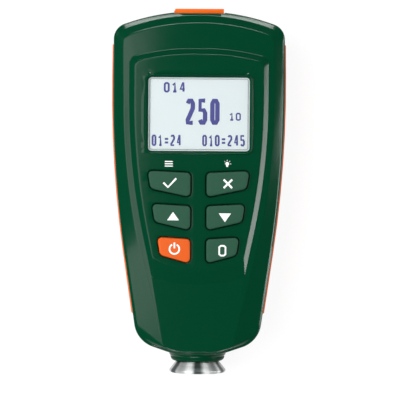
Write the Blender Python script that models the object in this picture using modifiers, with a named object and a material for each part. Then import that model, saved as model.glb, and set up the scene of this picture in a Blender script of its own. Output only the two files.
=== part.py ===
"""Coating thickness gauge: a hand-held instrument with a spring-loaded probe at its lower end.

It lies on its back. +Z points out of the display, +Y to the socket end, -Y to the probe.
X = Y = 0 is the middle of its box and z = 0 is the back face. All values are in metres.
"""
import math

import bmesh
import bpy
from mathutils import Matrix, Vector

MM = 0.001
GAP = 0.3 * MM               # clearance between pieces that seat on each other

# Housing: plan view. Each outline turns at five rounded corners on its right half.
TOP_Y = 55.9 * MM            # apex of the arched top end
BOTTOM_Y = -51.3 * MM        # lowest point of the lower end
CROWN_X = 11.5 * MM
CROWN_RADIUS = 66.0 * MM
CORNER_X = 26.5 * MM
CORNER_DROP = 5.1 * MM       # how far the top corner lies below the apex
CORNER_RADIUS = 5.0 * MM
WAIST_X = 27.0 * MM
WAIST_Y = 8.5 * MM
WAIST_RADIUS = 350.0 * MM
FOOT_X = 18.9 * MM
FOOT_RISE = 4.4 * MM         # how far the lower corner lies above the lowest point
FOOT_RADIUS = 8.6 * MM
HEEL_X = 6.0 * MM
HEEL_RADIUS = 24.0 * MM
CORNER_STEPS = (6, 5, 6, 6, 3)

# Steps of the front face: how far the corners of each outline lie inside the housing's own
SHOULDER_STEP = {
    "top": 1.5 * MM, "corner": 0.7 * MM, "waist": 0.55 * MM, "foot": 0.9 * MM, "bottom": 0.7 * MM}
RIDGE_STEP = {
    "top": 3.85 * MM, "drop": 0.85 * MM, "crown_x": 10.5 * MM, "corner": 3.3 * MM, "corner_radius": 3.2 * MM,
    "waist": 3.8 * MM, "waist_y": 4.3 * MM, "waist_radius": 200.0 * MM, "foot": 8.3 * MM, "rise": 2.9 * MM,
    "foot_radius": 1.5 * MM, "bottom": 1.3 * MM, "heel_x": 5.0 * MM, "heel_radius": 15.0 * MM}
FIELD_FOOT_STEP = {
    "top": 11.8 * MM, "drop": 2.5 * MM, "crown_x": 9.5 * MM, "corner": 4.9 * MM, "corner_radius": 2.6 * MM,
    "waist": 5.4 * MM, "waist_y": 7.3 * MM, "waist_radius": 200.0 * MM, "foot": 4.6 * MM, "rise": 2.3 * MM,
    "foot_radius": 1.2 * MM, "bottom": 22.3 * MM, "heel_x": 7.0 * MM, "heel_radius": 28.0 * MM}
FIELD_TOP_STEP = {
    "top": 13.7 * MM, "drop": 2.8 * MM, "crown_x": 9.3 * MM, "corner": 6.7 * MM, "corner_radius": 2.2 * MM,
    "waist": 7.1 * MM, "waist_y": 8.7 * MM, "waist_radius": 200.0 * MM, "foot": 4.9 * MM, "rise": 0.95 * MM,
    "foot_radius": 1.0 * MM, "bottom": 26.95 * MM, "heel_x": 7.0 * MM, "heel_radius": 27.0 * MM}

# Housing: heights above the back face
PARTING_Z = 12.4 * MM
SIDE_TOP_Z = 21.3 * MM       # where the upright side ends
SHOULDER_Z = 21.9 * MM
SHOULDER_ROLL = (0.3, 0.65)  # share of its step and of its rise at the middle of its rounding
FACE_Z = 23.8 * MM           # edge of the main face
PLATEAU_Z = 25.2 * MM        # edge of the raised display and key field
CROWN_HEIGHT = 0.6 * MM      # how much the faces bulge at the centre-line
WALL = 2.0 * MM
BACK_WALL = 3.4 * MM
END_WALL = 3.0 * MM          # wall at the probe end
BACK_INSET = 4.2 * MM        # how far the back face lies inside the plan outline
BACK_RISE = 5.0 * MM         # height of the rounded edge round the back
BACK_ROLL = ((0.38, 0.3), (0.1, 0.7))  # shares of that inset and height along the rounding
CEILING_STEP = 1.2 * MM      # how far the front half's ceiling lies inside the ridge
FLOOR_STEP = 0.6 * MM        # slant of the rear half's inner wall near its floor
DISPLAY_CEILING_Z = 22.9 * MM
KEYPAD_CEILING_Z = 21.8 * MM
MAIN_CEILING_Z = 21.6 * MM

# Display
WINDOW_WIDTH = 31.4 * MM
WINDOW_HEIGHT = 22.8 * MM
WINDOW_Y = 23.8 * MM
WINDOW_RADIUS = 0.9 * MM
LENS_LEDGE = 0.8 * MM        # width of the ledge that carries the lens
LENS_THICKNESS = 1.2 * MM
LENS_EDGE = 0.2 * MM
LENS_DEPTH = 0.3 * MM        # how far the lens lies below its lip
LIP_WIDTH = 0.9 * MM
LIP_TOP_WIDTH = 0.35 * MM
LIP_RISE = 0.15 * MM         # how far the lip stands above the middle of the face
PANEL_THICKNESS = 2.0 * MM
PANEL_BORDER = 1.4 * MM
CARRIER_THICKNESS = 2.3 * MM
CARRIER_LEG = 2.5 * MM
STRIP_WIDTH = 2.0 * MM

# Keys: three rows of two, the outer ends follow the narrowing body
KEY_INNER_X = 2.45 * MM
KEY_OUTER_X = (15.65 * MM, 14.3 * MM, 12.6 * MM)
KEY_TOP_Y = 6.35 * MM
KEY_PITCH = 10.2 * MM
KEY_HEIGHT = 8.1 * MM
KEY_SLOPE = 0.6 * MM
KEY_RADIUS = 1.25 * MM
KEY_PROUD = 1.2 * MM
KEY_TRAVEL = 0.8 * MM
KEY_FLANGE = 0.7 * MM
KEY_FLANGE_THICKNESS = 1.2 * MM
KEY_EDGE = 0.45 * MM
KEY_EDGE_MIDDLE = 0.135 * MM # step of the facet in the middle of that rounding
KEY_TAPER = 0.9 * MM
KEY_SIDE = 5.5 * MM          # length of the outer side, above the slanted lower edge
KEY_SOFT_RADIUS = 1.75 * MM
MAT_HALF_WIDTH = 13.5 * MM
MAT_TAPER = 1.5 * MM
MAT_RADIUS = 1.5 * MM
MAT_Y = (-24.0 * MM, 7.4 * MM)
DOME_RADIUS = 2.4 * MM
STEM_RADIUS = 1.7 * MM
DOME_HEIGHT = 0.6 * MM
MAT_THICKNESS = 1.2 * MM

# Main board
BOARD_THICKNESS = 1.6 * MM
BOARD_RADIUS = 1.5 * MM
BOARD_WAIST_RADIUS = 3.0 * MM
BOARD_Y = (-30.0 * MM, 39.5 * MM)
BOARD_HALF_WIDTH = 20.0 * MM
BOARD_WAIST_Y = -8.0 * MM
BOARD_LOWER_HALF_WIDTH = 13.0 * MM
BOARD_SCREW_X = 17.0 * MM
BOARD_SCREW_Y = -2.0 * MM
BOARD_SCREW_TIP_Z = 8.0 * MM
BOARD_POST_RADIUS = 2.4 * MM
CHIP_WIDTH = 10.0 * MM
CHIP_HEIGHT = 1.3 * MM
BUZZER_X = 12.5 * MM
BUZZER_RADIUS = 4.2 * MM
BUZZER_HEIGHT = 3.0 * MM
BOARD_TONGUE_WIDTH = 16.0 * MM

# Battery bay
CELL_DIAMETER = 10.3 * MM
CELL_LENGTH = 43.7 * MM      # without the nub
NUB_DIAMETER = 3.8 * MM
NUB_LENGTH = 0.8 * MM
CELL_SPACING = 11.0 * MM
BAY_Y = 4.0 * MM
BAY_WALL = 1.2 * MM
COVER_THICKNESS = 1.7 * MM
COVER_BORDER = 3.2 * MM
COVER_RADIUS = 3.0 * MM
COVER_SINK = 0.2 * MM        # the cover lies this far above the back face
COVER_BOSS_RADIUS = 2.6 * MM
COVER_BOSS_Z = 9.0 * MM
COVER_SCREW_TIP_Z = 7.5 * MM
TONGUE_WIDTH = 4.0 * MM
TONGUE_LENGTH = 1.6 * MM
TONGUE_Z = 1.0 * MM
PLATE_THICKNESS = 0.5 * MM
SPRING_ROOM = 4.0 * MM
SPRING_WIRE = 0.5 * MM
SPRING_RADIUS = 2.6 * MM

# Side grips
GRIP_TOP_Y = 46.0 * MM
GRIP_BOTTOM_Y = -38.0 * MM
GRIP_HEIGHT = 10.0 * MM
GRIP_PROUD = 0.5 * MM
GRIP_DEPTH = 1.0 * MM
GRIP_EDGE = 0.35 * MM

# Socket and its rubber cover
COVER_TAB_WIDTH = 15.2 * MM
COVER_TAB_PROUD = 1.1 * MM   # how far the cover stands out of the top end
COVER_TAB_THICKNESS = 2.0 * MM
COVER_TAB_EDGE = 0.5 * MM    # rounding of its front edge
TAB_LIP_RADIUS = 0.35 * MM   # small nub to lift the cover by
TAB_LIP_LENGTH = 6.0 * MM
COVER_TAB_Z = (8.4 * MM, 18.8 * MM)
SOCKET_WIDTH = 7.7 * MM
SOCKET_HEIGHT = 3.9 * MM
SOCKET_LENGTH = 9.0 * MM
SOCKET_DEPTH = 7.2 * MM      # depth of its mouth
BLADE_HALF_WIDTH = 2.4 * MM
BLADE_ROOT = 0.9 * MM        # how far the blade reaches into the mouth's floor
SOCKET_CLEARANCE = 0.5 * MM  # between the socket and the plug of its cover
SHEET = 0.4 * MM
PLUG_WIDTH = 8.8 * MM
PLUG_HEIGHT = 3.3 * MM
PLUG_LENGTH = 1.2 * MM

# Probe, turned about its axis along Y
FOOT_END_Y = -56.7 * MM
FOOT_RIM_RADIUS = 8.85 * MM
FOOT_NECK_RADIUS = 6.9 * MM
FOOT_RIM_WIDTH = 0.9 * MM
RIM_EDGE = 0.3 * MM          # rounding of the foot's rim
COLLAR_RADIUS = 8.9 * MM
COLLAR_WAIST_RADIUS = 7.2 * MM
COLLAR_STEPS = 4             # facets of its rounded end
COLLAR_END_Y = -53.0 * MM
SLEEVE_RADIUS = 5.6 * MM
SLEEVE_BORE = 4.3 * MM
SLEEVE_END_Y = -32.0 * MM
COLLAR_TOP_Y = -50.2 * MM
COLLAR_GROOVE_RADIUS = 6.7 * MM
COLLAR_FLANGE_RADIUS = 7.5 * MM
COLLAR_FLANGE_Y = -47.0 * MM
COLLAR_FLANGE_THICKNESS = 2.0 * MM
TIP_HOLE_RADIUS = 2.2 * MM
TIP_LENGTH = 1.6 * MM
TIP_DOME = 1.2 * MM          # height of the tip's rounded end
TIP_STEPS = 5
FOOT_FLOOR = 2.5 * MM
SPRING_PRESSED = 6.0 * MM    # length of the probe spring with the plunger pushed in
PLUNGER_WALL = 0.8 * MM
CORE_FLANGE = 1.5 * MM
CAP_DEPTH = 1.0 * MM
CAP_FLANGE = 1.0 * MM
PROBE_WIRE = 0.5 * MM
LEAD_RADIUS = 0.5 * MM
LEAD_X = 3.4 * MM
LEAD_REACH = 4.0 * MM
PLUNGER_TRAVEL = 1.5 * MM
TIP_PROUD = 0.3 * MM
CORE_RADIUS = 1.5 * MM
GROOVE_DEPTH = 1.2 * MM

# Screws
BOSS_RADIUS = 3.0 * MM
BOSSES = ((20.0 * MM, 45.5 * MM), (13.0 * MM, -37.5 * MM))
SCREW_RADIUS = 1.25 * MM
SCREW_HEAD_RADIUS = 2.3 * MM
SCREW_HEAD_HEIGHT = 1.5 * MM
SCREW_SEAT_Z = 2.0 * MM      # underside of a sunk head
SCREW_TIP_Z = 18.5 * MM
SMALL_SCREW_RADIUS = 0.8 * MM
SMALL_HEAD_RADIUS = 1.7 * MM
SMALL_HEAD_HEIGHT = 0.9 * MM
RECESS_REACH = 0.6           # cross recess, as shares of the head's radius and height
RECESS_SLOT = 0.15
RECESS_DEPTH = 0.5

NAME = "coating_thickness_gauge"

for old in list(bpy.data.objects):
    bpy.data.objects.remove(old)

parts = bpy.data.collections.new(NAME)
cutters = bpy.data.collections.new("cutters")
for group in (parts, cutters):
    bpy.context.scene.collection.children.link(group)


# Materials

def material(name, color, roughness, metallic=0.0, alpha=1.0):
    made = bpy.data.materials.new(name)
    made.use_nodes = True
    shader = made.node_tree.nodes["Principled BSDF"]
    shader.inputs["Base Color"].default_value = (*color, 1.0)
    shader.inputs["Roughness"].default_value = roughness
    shader.inputs["Metallic"].default_value = metallic
    shader.inputs["Alpha"].default_value = alpha
    made.diffuse_color = (*color, alpha)
    return made


GREEN = ((0.002, 0.053, 0.022), 0.32)
ORANGE = ((1.0, 0.16, 0.006), 0.5)
KEY_GREEN = ((0.048, 0.156, 0.09), 0.5)
CLEAR = ((0.9, 0.95, 0.95), 0.05, 0.0, 0.3)
DISPLAY_WHITE = ((0.79, 0.87, 0.89), 0.4)
WHITE_PLASTIC = ((0.8, 0.8, 0.78), 0.5)
BLACK_PLASTIC = ((0.02, 0.02, 0.02), 0.45)
GREY_RUBBER = ((0.1, 0.1, 0.1), 0.7)
BOARD_GREEN = ((0.01, 0.12, 0.04), 0.4)
STEEL = ((0.6, 0.6, 0.61), 0.3, 1.0)
COPPER = ((0.6, 0.25, 0.12), 0.35, 1.0)
CELL_WRAP = ((0.05, 0.06, 0.2), 0.35)


# Objects and modifiers

def add(name, mesh, color=None):
    made = bpy.data.objects.new(name, mesh)
    if color:
        parts.objects.link(made)
        made.data.materials.append(material(name, *color))
    else:
        cutters.objects.link(made)
        made.hide_render = True
        made.display_type = "WIRE"
    return made


def combine(target, tool, operation):
    modifier = target.modifiers.new(f"{operation.lower()} {tool.name}", "BOOLEAN")
    modifier.operation = operation
    modifier.object = tool


def cut(target, *tools):
    for tool in tools:
        combine(target, tool, "DIFFERENCE")


def join(target, *tools):
    for tool in tools:
        combine(target, tool, "UNION")


def round_edges(target, width, segments=2, angle=40.0):
    modifier = target.modifiers.new("rounded edges", "BEVEL")
    modifier.width = width
    modifier.segments = segments
    modifier.limit_method = "ANGLE"
    modifier.angle_limit = math.radians(angle)


def mesh_from(bm, name, smooth_angle=35.0):
    bmesh.ops.recalc_face_normals(bm, faces=bm.faces)
    if bm.calc_volume(signed=True) < 0.0:
        bmesh.ops.reverse_faces(bm, faces=bm.faces)
    mesh = bpy.data.meshes.new(name)
    bm.to_mesh(mesh)
    bm.free()
    mesh.shade_smooth()
    mesh.set_sharp_from_angle(angle=math.radians(smooth_angle))
    return mesh


def box(name, low, high, color=None):
    low, high = Vector(low), Vector(high)
    bm = bmesh.new()
    bmesh.ops.create_cube(bm, size=1.0, matrix=Matrix.LocRotScale((low + high) / 2, None, high - low))
    return add(name, mesh_from(bm, name), color)


def rod(name, start, end, radius, color=None, end_radius=None, sides=16):
    start, end = Vector(start), Vector(end)
    turn = (end - start).to_track_quat("Z", "Y")
    bm = bmesh.new()
    bmesh.ops.create_cone(
        bm, cap_ends=True, segments=sides, radius1=radius,
        radius2=radius if end_radius is None else end_radius, depth=(end - start).length,
        matrix=Matrix.LocRotScale((start + end) / 2, turn, None))
    return add(name, mesh_from(bm, name), color)


def welded(curve_object, name, color):
    """The mesh of a curve object, with its caps joined to its walls."""
    bpy.context.view_layer.update()
    evaluated = curve_object.evaluated_get(bpy.context.evaluated_depsgraph_get())
    mesh = bpy.data.meshes.new_from_object(evaluated)
    bm = bmesh.new()
    bm.from_mesh(mesh)
    bmesh.ops.remove_doubles(bm, verts=bm.verts, dist=0.001 * MM)
    made = add(name, mesh_from(bm, name), color)
    made.matrix_world = curve_object.matrix_world.copy()
    bpy.data.objects.remove(curve_object)
    return made


def plate(name, points, z_low, z_high, color=None, turn=None):
    """A flat outline extruded along its own Z; turn is a rotation matrix for the finished plate."""
    curve = bpy.data.curves.new(name, "CURVE")
    curve.dimensions = "2D"
    curve.fill_mode = "BOTH"
    curve.extrude = (z_high - z_low) / 2
    spline = curve.splines.new("POLY")
    spline.points.add(len(points) - 1)
    for place, (x, y) in zip(spline.points, points):
        place.co = (x, y, 0.0, 1.0)
    spline.use_cyclic_u = True
    drawn = bpy.data.objects.new(name + " outline", curve)
    cutters.objects.link(drawn)
    lift = Matrix.Translation((0.0, 0.0, (z_low + z_high) / 2))
    drawn.matrix_world = (turn or Matrix.Identity(4)) @ lift
    made = welded(drawn, name, color)
    return made


def tube(name, points, radius, color, closed_ends=True):
    """A wire of round section along a list of points."""
    curve = bpy.data.curves.new(name, "CURVE")
    curve.dimensions = "3D"
    curve.bevel_depth = radius
    curve.bevel_resolution = 2
    curve.use_fill_caps = closed_ends
    spline = curve.splines.new("POLY")
    spline.points.add(len(points) - 1)
    for place, point in zip(spline.points, points):
        place.co = (*point, 1.0)
    drawn = bpy.data.objects.new(name + " path", curve)
    cutters.objects.link(drawn)
    return welded(drawn, name, color)


def put_origin(made, place):
    """Moves an object's origin to a place on its joint's axis and leaves its shape where it is."""
    bpy.context.view_layer.update()
    before = made.matrix_world.copy()
    after = Matrix.Translation(Vector(place) - before.translation) @ before
    made.data.transform(after.inverted() @ before)
    made.matrix_world = after


def turned(name, profile, color=None, steps=40, closed=True):
    """A profile of (radius, y) turned about the probe's axis, its outer side from high y to low y."""
    bm = bmesh.new()
    points = [bm.verts.new((radius, 0.0, y)) for radius, y in profile]
    for first, second in zip(points, points[1:]):
        bm.edges.new((first, second))
    if closed:
        bm.edges.new((points[-1], points[0]))
    mesh = bpy.data.meshes.new(name)
    bm.to_mesh(mesh)
    bm.free()
    made = add(name, mesh, color)
    screw = made.modifiers.new("turned", "SCREW")
    screw.axis = "Z"
    screw.steps = steps
    screw.render_steps = steps
    screw.use_merge_vertices = True
    screw.merge_threshold = 0.01 * MM
    made.matrix_world = Matrix.Translation((0.0, 0.0, PROBE_Z)) @ Matrix.Rotation(math.radians(-90), 4, "X")
    return made


# Outlines

def rounded(corners, closed=False):
    """Points of a line of corners (x, y, radius, steps); an open line keeps its two end points.

    A radius gives way where the straight on either side of its corner is too short for it.
    """
    points = []
    count = len(corners)
    for index, (x, y, radius, steps) in enumerate(corners):
        here = Vector((x, y))
        if not closed and index in (0, count - 1):
            points.append(here)
            continue
        last, following = (Vector(corners[near % count][:2]) - here for near in (index - 1, index + 1))
        shares = [0.97 if not closed and near in (0, count - 1) else 0.75 for near in (index - 1, index + 1)]
        if closed:
            shares = [0.49, 0.49]
        half = last.angle(following) / 2
        reach = min(radius / math.tan(half), shares[0] * last.length, shares[1] * following.length)
        to_last, to_next = last.normalized(), following.normalized()
        centre = here + (to_last + to_next).normalized() * reach / math.cos(half)
        start = here + to_last * reach - centre
        sweep = start.angle_signed(here + to_next * reach - centre)
        for step in range(steps + 1):
            points.append(centre + Matrix.Rotation(-sweep * step / steps, 2) @ start)
    return points


def ring(half):
    """A closed outline from its right half, which runs from the top centre to the bottom centre."""
    return list(half) + [Vector((-p.x, p.y)) for p in reversed(half[1:-1])]


def body_half(top=0.0, drop=0.0, corner=0.0, corner_radius=CORNER_RADIUS, waist=0.0, waist_y=WAIST_Y,
              waist_radius=WAIST_RADIUS, foot=0.0, rise=0.0, foot_radius=FOOT_RADIUS, bottom=0.0,
              crown_x=CROWN_X, heel_x=HEEL_X, heel_radius=HEEL_RADIUS):
    """Right half of a plan outline, given by how far each corner lies inside the housing's own."""
    high = TOP_Y - top
    low = BOTTOM_Y + bottom
    crown, corner_steps, waist_steps, foot_steps, heel = CORNER_STEPS
    return rounded([
        (0.0, high, 0.0, 0),
        (crown_x, high, CROWN_RADIUS, crown),
        (CORNER_X - corner, high - CORNER_DROP + drop, corner_radius, corner_steps),
        (WAIST_X - waist, waist_y, waist_radius, waist_steps),
        (FOOT_X - foot, low + FOOT_RISE - rise, foot_radius, foot_steps),
        (heel_x, low, heel_radius, heel),
        (0.0, low, 0.0, 0)])


def inset(points, distance):
    """A closed outline moved inwards by a distance; a negative one moves it outwards."""
    moved = []
    count = len(points)
    area = sum(a.x * b.y - b.x * a.y for a, b in zip(points, points[1:] + points[:1]))
    side = 1.0 if area > 0 else -1.0
    for index, here in enumerate(points):
        before = (here - points[index - 1]).normalized()
        after = (points[(index + 1) % count] - here).normalized()
        along = (before + after).normalized()
        normal = Vector((-along.y, along.x)) * side
        moved.append(here + normal * distance / max(0.5, along.dot(before)))
    return moved


def rectangle(width, height, radius, x=0.0, y=0.0, steps=4):
    """A rectangle with rounded corners, about its middle."""
    right, top = width / 2, height / 2
    corners = [(x - right, y - top), (x - right, y + top), (x + right, y + top), (x + right, y - top)]
    return rounded([(*corner, radius, steps) for corner in corners], closed=True)


def crowned(points, edge_z, half_width):
    """Places an outline on a face that bulges towards the centre-line."""
    return [Vector((p.x, p.y, edge_z + CROWN_HEIGHT * (1.0 - min(1.0, abs(p.x) / half_width) ** 2)))
            for p in points]


def level(points, z):
    return [Vector((p.x, p.y, z)) for p in points]


def loft(name, rings, color=None, lid=None):
    """A closed body through rings of equal count; a lid crowns the last ring across its width."""
    bm = bmesh.new()
    rows = [[bm.verts.new(point) for point in points] for points in rings]
    count = len(rows[0])
    for lower, upper in zip(rows, rows[1:]):
        for index in range(count):
            after = (index + 1) % count
            bm.faces.new((lower[index], lower[after], upper[after], upper[index]))
    bm.faces.new(rows[0])
    if lid:
        fill_crowned(bm, rows[-1], *lid)
    else:
        bm.faces.new(rows[-1])
    return add(name, mesh_from(bm, name), color)


def fill_crowned(bm, row, edge_z, half_width, columns=4):
    """Closes a symmetric ring with strips that run across it and follow the crown."""
    half = len(row) // 2
    strips = []
    for index in range(1, half):
        right, left = row[index], row[-index]
        inner = []
        for column in range(1, columns):
            flat = right.co.lerp(left.co, column / columns).to_2d()
            inner.append(bm.verts.new(crowned([flat], edge_z, half_width)[0]))
        strips.append([right, *inner, left])
    for start, strip in ((row[0], strips[0]), (row[half], strips[-1])):
        for first, second in zip(strip, strip[1:]):
            bm.faces.new((start, first, second))
    for upper, lower in zip(strips, strips[1:]):
        for column in range(columns):
            bm.faces.new((upper[column], upper[column + 1], lower[column + 1], lower[column]))


# Outlines and places that more than one piece uses

PROBE_Z = PARTING_Z
BODY = ring(body_half())
SHOULDER = ring(body_half(**SHOULDER_STEP))
RIDGE = ring(body_half(**RIDGE_STEP))
RIDGE_HALF = WAIST_X - RIDGE_STEP["waist"]
FIELD_FOOT = ring(body_half(**FIELD_FOOT_STEP))
FIELD_TOP = ring(body_half(**FIELD_TOP_STEP))
FIELD_HALF = WAIST_X - FIELD_TOP_STEP["waist"]
INNER = ring(body_half(
    top=WALL, corner=WALL, corner_radius=CORNER_RADIUS - WALL, waist=WALL, foot=WALL,
    foot_radius=FOOT_RADIUS - WALL, bottom=END_WALL))


def between(outer, inner, share):
    return [a.lerp(b, share) for a, b in zip(outer, inner)]


def above_end_wall(points):
    """Keeps an outline off the thick wall at the probe end."""
    return [Vector((p.x, max(p.y, BOTTOM_Y + END_WALL))) for p in points]


def side_strip(outer, inner, extra=0.0):
    """A band along the right side, between two distances inside the plan outline."""
    half = len(BODY) // 2 + 1

    def chain(distance):
        points = inset(BODY, distance)[:half]
        high, low = GRIP_TOP_Y + extra, GRIP_BOTTOM_Y - extra
        kept = []
        for a, b in zip(points, points[1:]):
            for limit in (high, low):
                if a.y > limit > b.y:
                    kept.append(a.lerp(b, (a.y - limit) / (a.y - b.y)))
            if low < b.y < high:
                kept.append(b)
        return kept

    return chain(outer) + chain(inner)[::-1]


def mirrored(points):
    return [Vector((-p.x, p.y)) for p in reversed(points)]


def key_outline(row, side):
    """Four-cornered key; its outer lower corner is cut back and its top edge slopes to the middle."""
    top = KEY_TOP_Y - row * KEY_PITCH
    outer = KEY_OUTER_X[row]
    points = rounded([
        (KEY_INNER_X, top - KEY_SLOPE, KEY_RADIUS, 3),
        (outer, top, KEY_RADIUS, 3),
        (outer - KEY_TAPER, top - KEY_SIDE, KEY_SOFT_RADIUS, 3),
        (KEY_INNER_X, top - KEY_HEIGHT, KEY_RADIUS, 3)], closed=True)
    return points if side > 0 else mirrored(points)


def key_centre(row, side):
    return Vector((side * (KEY_INNER_X + KEY_OUTER_X[row]) / 2, KEY_TOP_Y - row * KEY_PITCH - KEY_HEIGHT / 2))


KEYS = (
    ("set_key", 0, -1, KEY_GREEN), ("cancel_key", 0, 1, KEY_GREEN),
    ("up_key", 1, -1, KEY_GREEN), ("down_key", 1, 1, KEY_GREEN),
    ("power_key", 2, -1, ORANGE), ("zero_key", 2, 1, KEY_GREEN))

# Heights that follow from the stack inside, from the back upwards
CELL_Z = COVER_SINK + COVER_THICKNESS + GAP + CELL_DIAMETER / 2
BAY_ROOF_Z = CELL_Z + CELL_DIAMETER / 2 + GAP
BOARD_Z = BAY_ROOF_Z + BAY_WALL + GAP
BOARD_TOP_Z = BOARD_Z + BOARD_THICKNESS
ON_BOARD_Z = BOARD_TOP_Z + GAP
LIP_TOP_Z = PLATEAU_Z + CROWN_HEIGHT + LIP_RISE
LENS_TOP_Z = LIP_TOP_Z - LENS_DEPTH
LENS_SEAT_Z = LENS_TOP_Z - LENS_THICKNESS - GAP
PANEL_TOP_Z = DISPLAY_CEILING_Z - GAP
PANEL_Z = PANEL_TOP_Z - PANEL_THICKNESS
CARRIER_TOP_Z = PANEL_Z - GAP
CARRIER_Z = CARRIER_TOP_Z - CARRIER_THICKNESS
FLANGE_TOP_Z = KEYPAD_CEILING_Z - GAP
KEY_TOP_Z = PLATEAU_Z + CROWN_HEIGHT + KEY_PROUD
DOME_TOP_Z = ON_BOARD_Z + MAT_THICKNESS + DOME_HEIGHT
BAY_HALF_WIDTH = (CELL_SPACING + CELL_DIAMETER) / 2 + GAP
BAY_LENGTH = CELL_LENGTH + NUB_LENGTH + SPRING_ROOM + 2 * PLATE_THICKNESS + 3 * GAP
BAY_TOP_Y = BAY_Y + BAY_LENGTH / 2
BAY_BOTTOM_Y = BAY_Y - BAY_LENGTH / 2
COVER_TOP_Y = BAY_TOP_Y + COVER_BORDER
COVER_SCREW_Y = BAY_BOTTOM_Y - BAY_WALL - COVER_BOSS_RADIUS - GAP
COVER_BOTTOM_Y = COVER_SCREW_Y - COVER_BORDER
COVER_HALF_WIDTH = BAY_HALF_WIDTH + COVER_BORDER
COVER_TAB_TOP_Y = TOP_Y + COVER_TAB_PROUD
TAB_SEAT_Y = COVER_TAB_TOP_Y - COVER_TAB_THICKNESS
HINGE_Y = COVER_TAB_TOP_Y - COVER_TAB_THICKNESS / 2
HINGE_Z = COVER_TAB_Z[0] + COVER_TAB_THICKNESS / 2
SOCKET_FRONT_Y = TAB_SEAT_Y - PLUG_LENGTH - SOCKET_CLEARANCE
SOCKET_TOP_Z = BOARD_Z - GAP
SOCKET_Z = SOCKET_TOP_Z - SOCKET_HEIGHT / 2


def build_front_housing():
    low = PARTING_Z + GAP / 2
    roll_step, roll_rise = SHOULDER_ROLL
    shell = loft("front_housing", [
        level(BODY, low), level(BODY, SIDE_TOP_Z),
        level(between(BODY, SHOULDER, roll_step), SIDE_TOP_Z + roll_rise * (SHOULDER_Z - SIDE_TOP_Z)),
        level(SHOULDER, SHOULDER_Z), crowned(RIDGE, FACE_Z, RIDGE_HALF),
        crowned(FIELD_FOOT, FACE_Z, RIDGE_HALF), crowned(FIELD_TOP, PLATEAU_Z, FIELD_HALF),
    ], GREEN, lid=(PLATEAU_Z, FIELD_HALF))
    below = low - WALL
    cavity = loft("front cavity", [
        level(INNER, below), level(INNER, SIDE_TOP_Z - WALL / 2),
        level(above_end_wall(inset(RIDGE, CEILING_STEP)), MAIN_CEILING_Z)])
    keypad_room = plate("keypad room", keypad_outline(KEY_FLANGE + 2 * GAP), below, KEYPAD_CEILING_Z)
    panel_room = plate("display room", panel_outline(GAP), below, DISPLAY_CEILING_Z)
    above = PLATEAU_Z + 2 * WALL
    lens_pocket = plate("lens pocket", lens_outline(GAP), LENS_SEAT_Z, above)
    window = plate("window", window_outline(-LENS_LEDGE), PANEL_Z, above)
    lip = loft("window lip", [
        level(window_outline(LIP_WIDTH), PLATEAU_Z - LIP_WIDTH),
        level(window_outline(LIP_WIDTH), PLATEAU_Z + LIP_RISE),
        level(window_outline(LIP_TOP_WIDTH), LIP_TOP_Z)])
    join(shell, lip)
    cut(shell, cavity, keypad_room, panel_room)
    for number, (x, y) in enumerate(boss_places()):
        boss = rod(f"front boss {number}", (x, y, low), (x, y, MAIN_CEILING_Z - GAP), BOSS_RADIUS)
        join(shell, boss)
    for number, (x, y) in enumerate(boss_places()):
        cut(shell, rod(f"front screw hole {number}", (x, y, below), (x, y, SCREW_TIP_Z + GAP),
                       SCREW_RADIUS + GAP))
    cut(shell, lens_pocket, window)
    for name, row, side, color in KEYS:
        cut(shell, plate(f"{name} hole", inset(key_outline(row, side), -GAP), FLANGE_TOP_Z - WALL, above))
    cut(shell, *shared_cuts("front"))
    return shell


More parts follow.
